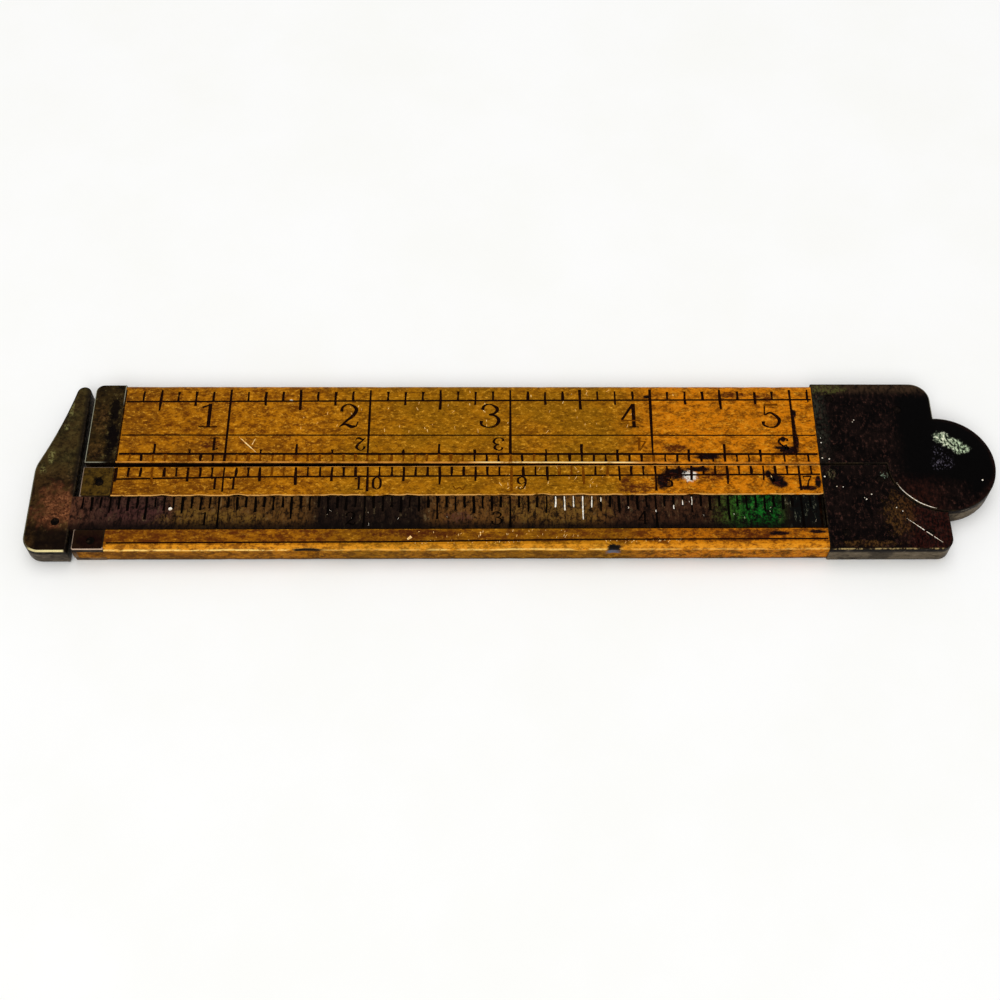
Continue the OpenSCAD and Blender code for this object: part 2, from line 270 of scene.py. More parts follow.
# Numerals as strokes of (x, y, width), in hundredths of their height
THICK, MID, THIN = 12.5, 8.5, 5
NUMERALS = {
    "0": [[(36, 99, THIN), (13, 78, THICK), (13, 22, THICK), (36, 1, THIN)],
          [(36, 99, THIN), (59, 78, THICK), (59, 22, THICK), (36, 1, THIN)]],
    "1": [[(38, 2, THICK), (38, 100, THICK)],
          [(38, 95, THIN), (10, 84, MID)],
          [(4, 2, THIN), (70, 2, THIN)]],
    "2": [[(8, 66, THICK), (12, 86, MID), (34, 98, THIN), (60, 78, THICK),
           (50, 50, THICK), (28, 28, MID), (4, 2, THIN)],
          [(5, 5, THIN), (24, 13, MID), (46, 3, THICK), (64, 6, THIN)],
          [(63, 4, THIN), (68, 24, THIN)]],
    "3": [[(10, 74, THICK), (16, 91, MID), (36, 98, THIN), (62, 80, THICK),
           (54, 60, MID), (32, 54, THIN)],
          [(32, 54, THIN), (56, 48, MID), (68, 28, THICK), (54, 6, MID),
           (30, 1, THIN), (8, 10, MID), (6, 28, THICK)]],
    "4": [[(47, 0, THICK), (47, 100, THICK)],
          [(45, 98, MID), (5, 32, MID)],
          [(2, 30, THIN), (70, 30, THIN)],
          [(30, 2, THIN), (64, 2, THIN)]],
    "5": [[(14, 95, MID), (62, 97, MID)],
          [(16, 96, THIN), (12, 52, THIN)],
          [(12, 52, THIN), (36, 62, MID), (63, 34, THICK), (52, 7, MID),
           (30, 1, THIN), (8, 10, MID), (6, 26, THICK)]],
    "6": [[(60, 86, MID), (44, 99, THIN), (20, 80, MID), (10, 42, THICK),
           (17, 10, THICK), (36, 1, THIN)],
          [(36, 1, THIN), (60, 15, THICK), (60, 44, THICK), (38, 58, THIN),
           (16, 42, THIN)]],
    "7": [[(8, 95, MID), (66, 95, MID)],
          [(64, 95, THIN), (42, 56, MID), (30, 1, THICK)],
          [(8, 97, THIN), (8, 76, THIN)]],
    "8": [[(36, 99, THIN), (15, 84, THICK), (20, 62, THICK), (40, 52, MID)],
          [(36, 99, THIN), (56, 84, MID), (50, 60, THIN), (32, 53, THIN)],
          [(34, 54, THIN), (10, 36, MID), (13, 9, MID), (36, 1, THIN)],
          [(38, 53, MID), (62, 38, THICK), (60, 10, THICK), (36, 1, THIN)]],
}
NUMERAL_W = 72
NUMERALS["9"] = [[(NUMERAL_W - x, 100 - y, w) for x, y, w in stroke] for stroke in NUMERALS["6"]]


def numeral_marks(text, x, y, height, turn=1, face=1, weight=1.0, gap=0.0, faded=()):
    """Marks for a number whose middle is at (x, y).

    turn is -1 for one that stands on its head, and face is -1 on the underside, where it
    is read from below. weight thickens the strokes, gap spreads the digits apart, and
    faded lists the strokes whose ink has nearly gone.
    """
    width = NUMERAL_W / 100 * height
    marks = []
    for place, digit in enumerate(text):
        shift = (place + 0.5 - len(text) / 2) * (width + gap) - width / 2
        for k, stroke in enumerate(NUMERALS[digit]):
            spots = [(u / 100 * height + shift, (v / 100 - 0.5) * height, w / 100 * height * weight)
                     for u, v, w in stroke]
            outline = [(x + turn * face * u, y + turn * v) for u, v in stroke_outline(spots)]
            marks.append(Mark(outline, slot=FAINT if k in faded else INK))
    return marks


# Closed shells made of flat faces and rings

# Points that agree to this many digits after the point are one, and so are marks' corners
# that are nearer than the gap
WELD_DIGITS, CUT_GAP = 4, 1e-4
# The most that two heights on one level differ, and the angle from which an edge is sharp
LEVEL, SHARP_ANGLE = 1e-6, math.radians(40)
ARRIS_STEPS, ARC_STEPS, PIN_STEPS = 3, 6, 32


class Shape:
    """Faces and slots of one piece. Points at one place are one vertex."""

    def __init__(self):
        self.points = []
        self.index = {}
        self.faces = []
        self.slots = []
        self.flat = []

    def point(self, x, y, z):
        key = tuple(round(v, WELD_DIGITS) for v in (x, y, z))
        if key not in self.index:
            self.index[key] = len(self.points)
            self.points.append(Vector((x, y, z)))
        return self.index[key]

    def face(self, ids, slot=FACE, flat=False):
        ids = [c for i, c in enumerate(ids) if c != ids[i - 1]]
        if len(set(ids)) > 2:
            self.faces.append(ids)
            self.slots.append(slot)
            self.flat.append(flat)

    def ring_wall(self, low, high, slot=FACE):
        """Faces between two rings of (x, y, z) points."""
        a = [self.point(*p) for p in low]
        b = [self.point(*p) for p in high]
        for i in range(len(a)):
            self.face([a[i - 1], a[i], b[i], b[i - 1]], slot)

    def cap(self, outline, z, up, holes=(), marks=()):
        """A flat face at height z that looks up (1) or down (-1), with marks sunk into it."""
        spots, rows = [], []
        for loop in (outline, *holes, *[mark.outline for mark in marks]):
            rows.append(list(range(len(spots), len(spots) + len(loop))))
            spots.extend(loop)
        made = delaunay_2d_cdt([Vector(p) for p in spots], [], rows, 1, CUT_GAP)
        points, _, faces, sources, _, owners_of = made
        places = [spots[source[0]] if source else tuple(p) for p, source in zip(points, sources)]
        first_mark = 1 + len(holes)
        edges, depths_at = {}, {}
        for face, owners in zip(faces, owners_of):
            owners = set(owners)
            if 0 not in owners or any(0 < i < first_mark for i in owners):
                continue
            cuts = [marks[i - first_mark] for i in owners if i >= first_mark]
            cut = max(cuts, key=lambda mark: mark.depth) if cuts else None
            depth, slot = (cut.depth, cut.slot) if cut else (0, FACE)
            ids = [self.point(*places[i], z - up * depth) for i in face]
            self.face(ids if up > 0 else ids[::-1], slot, flat=True)
            for a, b in zip(face, list(face[1:]) + [face[0]]):
                edges.setdefault((min(a, b), max(a, b)), []).append((depth, slot))
                depths_at.setdefault(a, set()).add(depth)
        for (a, b), levels in edges.items():
            if len(levels) == 2 and levels[0][0] != levels[1][0]:
                (low, _), (deep, slot) = sorted(levels)
                down, back = (sorted(d for d in depths_at[i] if low <= d <= deep) for i in (b, a))
                wall = [self.point(*places[b], z - up * d) for d in down]
                wall += [self.point(*places[a], z - up * d) for d in reversed(back)]
                self.face(wall, slot, flat=True)

    def slab(self, outline, z0, z1, arris=0.1, holes=(), top=(), side=SIDE):
        """A plate, whose edges are rounded where it lies in one of the rule's two faces."""
        low, high = [], []
        for k in range(ARRIS_STEPS + 1):
            turn = math.pi / 2 * k / ARRIS_STEPS
            inwards, rise = arris * (1 - math.sin(turn)), arris * (1 - math.cos(turn))
            low.append((inwards, z0 + rise))
            high.append((inwards, z1 - rise))
        levels = (low if z0 == 0 else [(0, z0)]) + (high[::-1] if z1 == RULE_T else [(0, z1)])
        rings = [[(x, y, z) for x, y in inset(outline, depth)] for depth, z in levels]
        for a, b, (depth_a, _), (depth_b, _) in zip(rings, rings[1:], levels, levels[1:]):
            self.ring_wall(a, b, side if depth_a == depth_b else EDGE)
        self.cap([p[:2] for p in rings[0]], z0, -1, holes)
        self.cap([p[:2] for p in rings[-1]], z1, 1, holes, top)
        for hole in holes:
            self.ring_wall([(x, y, z0) for x, y in hole], [(x, y, z1) for x, y in hole])

    def bar(self, section, xs, top=(), bottom=(), bottom_z=0, slot_at=lambda y, z: FACE):
        """A bar along X with a section of (y, z) points. Its flats on top and at bottom_z take marks."""
        for (y0, z0), (y1, z1) in sides(section):
            low, high = min(y0, y1), max(y0, y1)
            on_top = abs(z0 - RULE_T) < LEVEL
            if abs(z0 - z1) < LEVEL and (on_top or abs(z0 - bottom_z) < LEVEL):
                marks = [mark for mark in (top if on_top else bottom)
                         if all(low < p[1] < high for p in mark.outline)]
                outline = [(x, low) for x in xs] + [(x, high) for x in reversed(xs)]
                self.cap(outline, z0, 1 if on_top else -1, marks=marks)
                continue
            slot = slot_at((y0 + y1) / 2, (z0 + z1) / 2)
            for x0, x1 in zip(xs, xs[1:]):
                ring = ((x0, y0, z0), (x1, y0, z0), (x1, y1, z1), (x0, y1, z1))
                self.face([self.point(*p) for p in ring], slot)
        for x in (xs[0], xs[-1]):
            for face in tessellate_polygon([[Vector((x, y, z)) for y, z in section]]):
                self.face([self.point(x, *section[i]) for i in face])

    def lathe(self, x, y, profile):
        """A turned pin on the upright axis at (x, y). profile runs up it as (radius, z)."""
        turns = [2 * math.pi * k / PIN_STEPS for k in range(PIN_STEPS)]
        rings = [[(x + r * math.cos(t), y + r * math.sin(t), z) for t in turns] for r, z in profile]
        for low, high in zip(rings, rings[1:]):
            self.ring_wall(low, high)
        for ring in (rings[0], rings[-1]):
            self.face([self.point(*p) for p in ring], flat=True)

    def bend(self, shift):
        """Moves every point by shift(point), for wear and dents."""
        self.points = [p + shift(p) for p in self.points]

    def build(self, name, node, materials):
        """Makes the piece, which takes a CAD node's place on its body."""
        mesh = bpy.data.meshes.new(name)
        body = BODY_OF[node]
        mesh.from_pydata([FROM_RULE[body] @ p for p in self.points], [], self.faces)
        for face, material, flat in zip(mesh.polygons, self.slots, self.flat):
            face.material_index = material
            face.use_smooth = not flat
        for material in materials:
            mesh.materials.append(material)
        obj = added(name, mesh)
        work = bmesh.new()
        work.from_mesh(mesh)
        bmesh.ops.recalc_face_normals(work, faces=work.faces)
        work.to_mesh(mesh)
        work.free()
        mesh.set_sharp_from_angle(angle=SHARP_ANGLE)
        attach(obj, body)
        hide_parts(node)


def added(name, data):
    obj = bpy.data.objects.new(name, data)
    bpy.context.scene.collection.objects.link(obj)
    return obj


# Materials

class Finish:
    """A material's node tree, with short calls for the nodes that it is made of.

    Places and lengths in it are in the rule's millimetres, on the body that it belongs to.
    Tones are screen colours, as three values from 0 to 255, or the output of a node.
    """

    def __init__(self, name, body):
        self.material = bpy.data.materials.new(name)
        self.material.use_nodes = True
        self.tree = self.material.node_tree
        self.shader = self.tree.nodes["Principled BSDF"]
        self.tone = None
        mapping = self.node("ShaderNodeMapping")
        self.link(self.node("ShaderNodeTexCoord").outputs["Object"], mapping.inputs["Vector"])
        shift, turn, scale = FROM_RULE[body].inverted().decompose()
        for name, value in (("Location", shift), ("Rotation", turn.to_euler()), ("Scale", scale)):
            mapping.inputs[name].default_value = value
        self.place = mapping.outputs["Vector"]
        split = self.node("ShaderNodeSeparateXYZ")
        self.link(self.place, split.inputs[0])
        self.x, self.y, self.z = split.outputs

    def node(self, kind, **values):
        node = self.tree.nodes.new(kind)
        for key, value in values.items():
            setattr(node, key, value)
        return node

    def link(self, source, socket):
        if isinstance(source, bpy.types.NodeSocket):
            self.tree.links.new(source, socket)
        else:
            socket.default_value = source

    def filled(self, node, **values):
        """The node with its inputs linked or set. An underscore stands for a space in their names."""
        for name, value in values.items():
            self.link(value, node.inputs[name.replace("_", " ")])
        return node

    def maths(self, kind, a, b=0.0):
        node = self.node("ShaderNodeMath", operation=kind)
        self.link(a, node.inputs[0])
        self.link(b, node.inputs[1])
        return node.outputs[0]

    def vector(self, kind, a, b=(0, 0, 0)):
        node = self.node("ShaderNodeVectorMath", operation=kind)
        self.link(a, node.inputs[0])
        self.link(b, node.inputs[1])
        return node.outputs["Value" if kind == "LENGTH" else "Vector"]

    def about_zero(self, value, reach):
        """A value from 0 to 1, turned into one from minus half a reach to half a reach."""
        return self.maths("MULTIPLY", self.maths("SUBTRACT", value, 0.5), reach)

    def noise(self, scale, detail=4, rough=0.6, stretch=(1, 1, 1)):
        """Noise from 0 to 1, with scale bumps to the millimetre. stretch lengthens them."""
        node = self.node("ShaderNodeTexNoise")
        place = self.vector("DIVIDE", self.place, stretch)
        self.filled(node, Vector=place, Scale=scale, Detail=detail, Roughness=rough)
        return node.outputs["Fac"]

    def ramp(self, factor, low, high, to_low=0.0, to_high=1.0):
        """Maps a value from low..high to to_low..to_high, smoothly and clamped."""
        node = self.node("ShaderNodeMapRange", interpolation_type="SMOOTHSTEP", clamp=True)
        self.filled(node, Value=factor, From_Min=low, From_Max=high, To_Min=to_low, To_Max=to_high)
        return node.outputs["Result"]

    def joined(self, kind, masks):
        """One mask from some. Each is a node's output, a number, or a tuple of what ramp() takes."""
        first, *others = (self.ramp(*mask) if isinstance(mask, tuple) else mask for mask in masks)
        for other in others:
            first = self.maths(kind, first, other)
        return first

    def times(self, *masks):
        return self.joined("MULTIPLY", masks)

    def either(self, *masks):
        return self.joined("MAXIMUM", masks)

    def band(self, value, low, high, fuzz=0.5):
        """1 where a value lies between low and high, fading out over fuzz."""
        return self.times((value, low - fuzz, low + fuzz), (value, high + fuzz, high - fuzz))

    def spots(self, places, fuzz=0.5, grain=0.9):
        """1 inside any of some ragged ovals (x, y, half length, half width), 0 outside."""
        ragged = self.about_zero(self.noise(grain, 5, 0.8), 4 * fuzz)
        masks = []
        for x, y, long, wide in places:
            off = self.vector("SUBTRACT", self.place, (x, y, 0))
            far = self.vector("LENGTH", self.vector("DIVIDE", off, (long, wide, 1e6)))
            masks.append(self.ramp(self.maths("ADD", far, ragged), 1.3, 0.7))
        return self.either(*masks)

    def mix(self, factor, a, b):
        node = self.node("ShaderNodeMix", data_type="RGBA")
        a, b = (screen_colour(*tone) if isinstance(tone, tuple) else tone for tone in (a, b))
        return self.filled(node, Factor=self.times(factor), A=a, B=b).outputs["Result"]

    def paint(self, tone, *masks):
        """Lays a tone over the finish, as far as all of the masks let it."""
        self.tone = self.mix(self.times(*masks), self.tone, tone)

    def bump(self, height, depth):
        """Bump of a height from 0 to 1, which is depth millimetres tall."""
        node = self.filled(self.node("ShaderNodeBump"), Distance=depth * MM, Height=height)
        normal = self.shader.inputs["Normal"]
        if normal.is_linked:
            self.link(normal.links[0].from_socket, node.inputs["Normal"])
        self.link(node.outputs[0], normal)

    def shade(self, rough, specular, metal=0.0):
        """Connects the tone and the roughness to the shader, and gives the material."""
        self.filled(self.shader, Base_Color=self.tone, Roughness=self.times(rough))
        self.filled(self.shader, Specular_IOR_Level=specular, Metallic=metal)
        return self.material


def screen_colour(red, green, blue):
    def linear(v):
        v /= 255
        return v / 12.92 if v <= 0.04045 else ((v + 0.055) / 1.055) ** 2.4
    return (linear(red), linear(green), linear(blue), 1)


def wood_tone(f):
    """Old varnished boxwood: amber, mottled, with olive and orange stretches."""
    mottle = f.noise(0.8, 5, 0.8, (1.6, 1, 1))
    grain = f.noise(2.4, 4, 0.8, (1.9, 1, 1))
    cloud = f.noise(0.16, 3, 0.6, (1.6, 1, 1))
    f.tone = f.mix((mottle, 0.38, 0.6), (104, 52, 0), (178, 110, 3))
    f.paint((104, 58, 0), (cloud, 0.48, 0.66, 0, 0.45))
    f.paint((134, 92, 0), f.band(f.x, 44, 98, 6), (cloud, 0.3, 0.6, 0.25, 0.55))
    f.paint((208, 118, 2), (f.x, 92, 108), (mottle, 0.4, 0.6, 0.1, 0.85))
    f.paint((92, 50, 4), (f.x, 34, 12), (cloud, 0.4, 0.6, 0.15, 0.4))
    f.paint((236, 168, 46), (grain, 0.53, 0.72, 0, 0.85))
    f.paint((70, 32, 0), (grain, 0.48, 0.32, 0, 0.8))
    return mottle, grain


# Spills, smears and specks on the upper faces, as (x, y, half length, half width)
STAINS = {
    "plain_leg": [(125.9, 2.8, 2.0, 0.9), (127.3, 4.6, 0.4, 1.6), (127.1, 8.5, 0.3, 3.5),
                  (127.3, 10.6, 0.5, 0.8), (124.9, 5.1, 0.5, 0.5), (124.6, 3.3, 1.5, 0.4),
                  (111.2, 1.4, 2.6, 0.55), (100.9, 14.2, 0.6, 0.4)],
    "caliper_leg": [(122.9, -3.2, 1.5, 1.3), (123.8, -4.0, 1.1, 0.9), (121.6, -2.0, 0.6, 0.8),
                    (128.4, -4.9, 1.6, 0.5), (102.9, -3.3, 1.3, 1.7), (105.2, -1.9, 2.6, 1.2),
                    (109.2, -1.0, 2.6, 0.5), (130.2, -3.6, 0.5, 1.4), (41.1, -16.6, 2.4, 0.35),
                    (93.8, -16.6, 0.9, 0.7), (122.5, -13.9, 2.0, 0.4), (129.0, -13.6, 1.4, 0.4)],
}
HAZE = {
    "plain_leg": [(116.8, 14.6, 2.6, 0.7), (122.5, 14.2, 1.6, 1.0), (105.2, 3.2, 2.2, 0.9),
                  (22.5, 4.0, 2.0, 0.8)],
    "caliper_leg": [(98.0, -4.8, 3.0, 1.0), (96.4, -3.6, 0.8, 1.4), (112.0, -2.2, 2.5, 1.2),
                    (118.0, -13.9, 5.0, 0.8), (60, -13.8, 8, 0.6)],
}
SPECKS = {"plain_leg": [(36.3, 13.35, 0.3, 0.25)], "caliper_leg": [(107.8, -2.4, 1.15, 1.0)]}


def boxwood(body):
    f = Finish("boxwood_" + body, body)
    mottle, grain = wood_tone(f)
    upper = f.ramp(f.z, 2.6, 3.4)
    if body == "caliper_leg":
        f.paint((82, 34, 4), f.band(f.y, -15.5, -12.3, 0.15), upper, (mottle, 0.36, 0.6, 0.85, 0.3))
        # A painted highlight: the front band, over the rounded front edge, is painted lighter gold.
        f.paint((214, 136, 20), (f.y, -15.2, -15.5), upper, (mottle, 0.4, 0.6, 0, 0.45))
        # A painted blue-grey reflection on the side, below the knock at 93.8 mm.
        f.paint((96, 106, 126), f.spots([(93.8, -16.7, 1.1, 0.6)], 0.4, 1.4), f.band(f.z, 2.0, 3.1, 0.2))
    f.paint((70, 26, 2), f.spots(HAZE[body], 0.7, 0.9), (grain, 0.62, 0.4, 0.4, 1), upper)
    spill = f.mix((grain, 0.5, 0.66), (8, 2, 2), (58, 18, 6))
    f.paint(spill, f.spots(STAINS[body], 0.4, 1.1), upper)
    f.paint((226, 220, 208), f.spots(SPECKS[body], 0.5, 1.6), upper, (grain, 0.36, 0.5))
    # Below the upper arris the wood is painted darker as shade, and near the underside darker still as a
    # painted contact shadow.
    f.paint((84, 50, 4), (f.z, 3.3, 2.9), (mottle, 0.54, 0.38, 0.25, 0.8))
    f.paint((48, 34, 10), (f.z, 1.0, 0.1, 0, 0.85))
    # Painted shade on the upright sides between the legs
    f.paint((14, 5, 3), f.band(f.y, -0.5, 0.5, 0.1), f.band(f.z, 0.4, 3.2, 0.1))
    f.bump(grain, 0.02)
    f.bump(mottle, 0.02)
    return f.shade((mottle, 0.3, 0.7, 0.6, 0.42), 0.03)


def wood_edge(body):
    """The arrises of the wood. Their pale lines and the gold front are painted highlights where the varnish
    is also worn; the plain leg's inner arris is painted near black below as shade, and the knocks are black.
    """
    f = Finish("boxwood_edge_" + body, body)
    mottle, grain = wood_tone(f)
    broken = f.noise(0.6, 5, 0.8, (3, 1, 1))
    if body == "plain_leg":
        # Along the seam the inner arris is painted with an orange highlight and, at 70 to 98 mm, a whitish
        # one, where the wood is also worn. Below them it is painted near black, as shade between the legs.
        inner = f.ramp(f.y, 8, 7)
        f.paint((220, 148, 60), inner, (f.x, 112, 98, 0.25, 1), (broken, 0.4, 0.55, 0.1, 0.8))
        seam_highlight_and_wear = f.times(inner, f.band(f.x, 70, 98, 2))
        f.paint((255, 226, 156), seam_highlight_and_wear, (f.z, 3.88, 3.97), (broken, 0.34, 0.48))
        f.paint((20, 6, 3), inner, (f.z, 3.86, 3.74))
        # A pale olive line along the back arris: a painted highlight where the varnish is also worn.
        back = f.times((f.y, 15.9, 16.4), (f.z, 3.9, 3.5))
        f.paint((150, 142, 96), back, (broken, 0.36, 0.56, 0.3, 0.9))
    else:
        # The rounded front edge is painted gold, with a pale painted highlight line along it that is
        # strongest at 4 to 40 mm and 62 to 94 mm.
        front = f.ramp(f.y, -15, -15.6)
        f.paint((226, 146, 26), front, (mottle, 0.42, 0.6, 0.15, 0.85), (f.z, 3.1, 3.35))
        bright = f.maths("ADD", f.band(f.x, 4, 40, 3), f.times(f.band(f.x, 62, 94, 3), 0.8))
        shine = f.times(front, f.band(f.z, 3.3, 3.6, 0.12), (broken, 0.4, 0.54))
        f.paint((255, 214, 118), shine, f.either(bright, 0.35))
        f.paint((120, 62, 2), front, (grain, 0.45, 0.32), 0.8)
        # The arrises on both sides of the twelfths, by the seam and by the groove, carry pale lines: painted
        # highlights where the wood is also worn
        inner = f.times((f.y, -3, -2), (f.x, 24, 30))
        f.paint((230, 162, 74), inner, (broken, 0.38, 0.55), 0.8)
        f.paint((232, 172, 90), f.band(f.y, -9, -4, 0.5), (broken, 0.38, 0.5), 0.9)
        sliver = f.times(f.spots([(41.1, -16.62, 2.6, 0.22)], 0.2, 1.6), (f.z, 3.66, 3.56))
        f.paint((8, 3, 2), f.either(sliver, f.spots([(93.8, -16.5, 1.2, 0.55)], 0.4, 1.6)))
    return f.shade((mottle, 0.3, 0.7, 0.55, 0.4), 0.06)


def grime(body):
    """Painted shade with some dirt: near black on the walls of the groove, between the legs and on the
    slide's flanks, browner towards the bottom.
    """
    f = Finish("grime_" + body, body)
    crust = f.noise(0.9, 4, 0.7, (3, 1, 1))
    f.tone = f.mix((crust, 0.4, 0.7), (10, 4, 3), (44, 22, 8))
    f.paint((96, 58, 14), (f.z, 1.6, 0.4, 0, 0.5))
    f.bump(crust, 0.03)
    return f.shade((crust, 0.3, 0.7, 0.9, 0.7), 0.02)


def ink(name, body, dark, worn, share):
    """The filling of the engraved marks. share is how much of it has gone."""
    f = Finish("ink_" + name, body)
    patch = f.noise(1.6, 3, 0.65)
    f.tone = f.mix((patch, 0.62 - share, 0.8 - share), dark, worn)
    f.bump(patch, 0.02)
    return f.shade((patch, 0.3, 0.7, 0.9, 0.7), 0.02)


def scraped(name, body, tone_a, tone_b):
    """Bare wood or metal in a scratch."""
    f = Finish("scraped_" + name, body)
    patch = f.noise(2.5, 2)
    f.tone = f.mix((patch, 0.35, 0.65), tone_a, tone_b)
    return f.shade((patch, 0.3, 0.7, 0.5, 0.4), 0.3)


def patina(f, scale, stretch, dark, middle, light):
    """Mottled tarnish, from nearly black to a rubbed tone."""
    cloud = f.noise(0.3, 4, 0.65)
    mottle = f.noise(scale, 5, 0.8, stretch)
    f.tone = f.mix((cloud, 0.36, 0.6), dark, middle)
    f.paint(dark, (mottle, 0.5, 0.36, 0, 0.8))
    f.paint(light, (mottle, 0.53, 0.72))
    f.bump(mottle, 0.012)
    return mottle


def brass_face(f, mottle):
    return f.shade((mottle, 0.3, 0.7, 0.62, 0.46), 0.04, 0.5)


def tip_brass(body):
    f = Finish("brass_tip_" + body, body)
    mottle = patina(f, 1.0, (1, 1, 1), (14, 7, 3), (50, 36, 12), (98, 84, 46))
    warm = f.spots([(2.2, 9.5, 1.2, 3.2), (2.0, 3.0, 1.4, 2.0)], 0.8, 0.8)
    f.paint((92, 62, 28), warm, (mottle, 0.42, 0.62), 0.5)
    f.paint((86, 62, 14), f.band(f.y, -6.2, 0, 0.2), (mottle, 0.36, 0.62, 0.1, 0.85))
    blots = [(4.6, 11.5, 1.0, 2.6), (4.8, 5.5, 1.0, 2.8), (3.6, -15.2, 2.2, 1.2), (3.5, -3.2, 0.9, 0.9)]
    f.paint((6, 2, 2), f.spots(blots, 0.7, 1.0), 0.9)
    f.paint((26, 6, 3), (f.y, -9, -12), (mottle, 0.4, 0.6, 0.5, 0.9))
    return brass_face(f, mottle)


def joint_brass(body):
    f = Finish("brass_joint_" + body, body)
    mottle = patina(f, 1.7, (1, 1.8, 1), (3, 1, 1), (17, 8, 6), (70, 42, 34))
    fine = f.noise(2.8, 3, 0.7, (1, 1.6, 1))
    if body == "plain_leg":
        plain_joint_stains(f, mottle, fine)
    else:
        caliper_joint_stains(f, fine)
    return brass_face(f, mottle)


def plain_joint_stains(f, mottle, fine):
    """The plate's browner back and end, its black middle, and the knuckle's rim and chalk."""
    patches = f.noise(0.22, 3, 0.6)
    specks = f.ramp(fine, 0.4, 0.6)
    f.paint((66, 48, 32), (f.y, 14.4, 16), (mottle, 0.38, 0.56, 0.1, 0.7))
    f.paint((58, 60, 48), (f.x, 134, 131.5), (patches, 0.4, 0.6, 0.1, 0.5), specks)
    f.paint((74, 72, 34), f.spots([(133.4, 15.8, 3.4, 0.9)], 0.7), specks)
    f.paint((2, 1, 1), (f.x, 143.5, 147), (f.y, 15.4, 13.6), (f.y, -5.2, -2.5))
    low = f.times((f.y, -1.2, -6.5), (f.x, 154.5, 148))
    f.paint((42, 15, 8), low, (mottle, 0.42, 0.62, 0.1, 0.9))
    off = f.vector("SUBTRACT", f.place, (LEG_LEN, 0, 0))
    far = f.vector("LENGTH", f.vector("MULTIPLY", off, (1, 1, 0)))
    f.paint((38, 17, 12), (far, 8.6, 9.7), (f.x, 151, 157), (mottle, 0.4, 0.62, 0.15, 0.9))
    f.paint((2, 1, 1), (far, 8.9, 8.0), (f.x, 154, 158), (f.y, -7.5, -5.5))
    upper = f.ramp(f.z, 1, 2)
    cream = f.mix((f.x, 153.5, 156.5), (240, 240, 212), (206, 222, 186))
    chalk = f.mix((fine, 0.5, 0.62), (140, 156, 126), cream)
    streak = f.spots([(153.2, 5.5, 1.3, 1.1), (154.9, 4.3, 1.6, 1.0), (156.4, 3.1, 1.4, 0.9)], 0.5, 1.2)
    f.paint(chalk, streak, (fine, 0.42, 0.52), upper)
    dust = f.spots([(152.6, 0.4, 1.8, 1.4), (152.4, 2.6, 1.2, 1.2)], 0.7)
    f.paint((92, 86, 98), dust, (fine, 0.54, 0.64), upper, 0.8)


def caliper_joint_stains(f, fine):
    """Gold where the plate is rubbed, red by its corner, and two crusts."""
    rubbed = f.spots([(143.4, -10.2, 2.4, 3.6), (138.0, -15.9, 5.0, 0.6), (146.4, -7.0, 1.4, 1.4)], 0.9, 0.8)
    f.paint((84, 56, 24), rubbed, (fine, 0.42, 0.64, 0.05, 0.8))
    f.paint((66, 24, 16), (f.x, 142, 148), (f.y, -4, -7), (fine, 0.4, 0.64, 0, 0.5))
    crust = f.times((fine, 0.46, 0.6), 0.8)
    f.paint((126, 142, 120), f.spots([(141.9, -2.3, 0.7, 0.6)], 0.6, 1.6), crust)
    f.paint((88, 80, 54), f.spots([(132.6, -2.0, 0.8, 0.9)], 0.7, 1.5), crust)


def jaw_brass():
    f = Finish("brass_jaw", "caliper")
    mottle = patina(f, 0.9, (1, 1, 1), (20, 10, 4), (62, 42, 18), (108, 80, 46))
    fine = f.noise(2.4, 4, 0.8)
    f.paint((66, 58, 28), (f.y, -4, 2), (mottle, 0.4, 0.6, 0.2, 0.7))
    red = f.mix((fine, 0.5, 0.68), (104, 58, 34), (150, 98, 62))
    reddened = f.spots([(-3.6, -8.4, 3.2, 3.8), (1.0, -10.2, 3.6, 2.2)], 1.0, 0.6)
    f.paint(red, reddened, (fine, 0.36, 0.62, 0.25, 0.95))
    glints = [(-5.5, 2.2, 0.6, 1.8), (-3.7, 8.3, 0.6, 0.7), (-3.3, 12.0, 0.5, 2.0), (-6.6, -0.8, 0.6, 0.9)]
    f.paint((136, 130, 76), f.spots(glints, 0.9, 1.2), (fine, 0.44, 0.62), 0.8)
    f.paint((22, 16, 9), (f.x, -1.6, -0.6), (f.y, -7, -5), 0.9)
    f.paint((12, 5, 3), (f.y, -12.0, -13.6), (f.x, -7.6, -5.5), 0.88)
    f.paint((14, 6, 3), (fine, 0.47, 0.3, 0, 0.8))
    return brass_face(f, mottle)


# Tones along the slide, as (x where one gives way to the next, tone), and the last one
SLIDE_TONES = [(2, (84, 50, 34)), (17, (62, 38, 30)), (41, (88, 57, 22)), (62, (30, 18, 11)),
               (93, (93, 59, 23))]
SLIDE_END_TONE = (56, 32, 18)


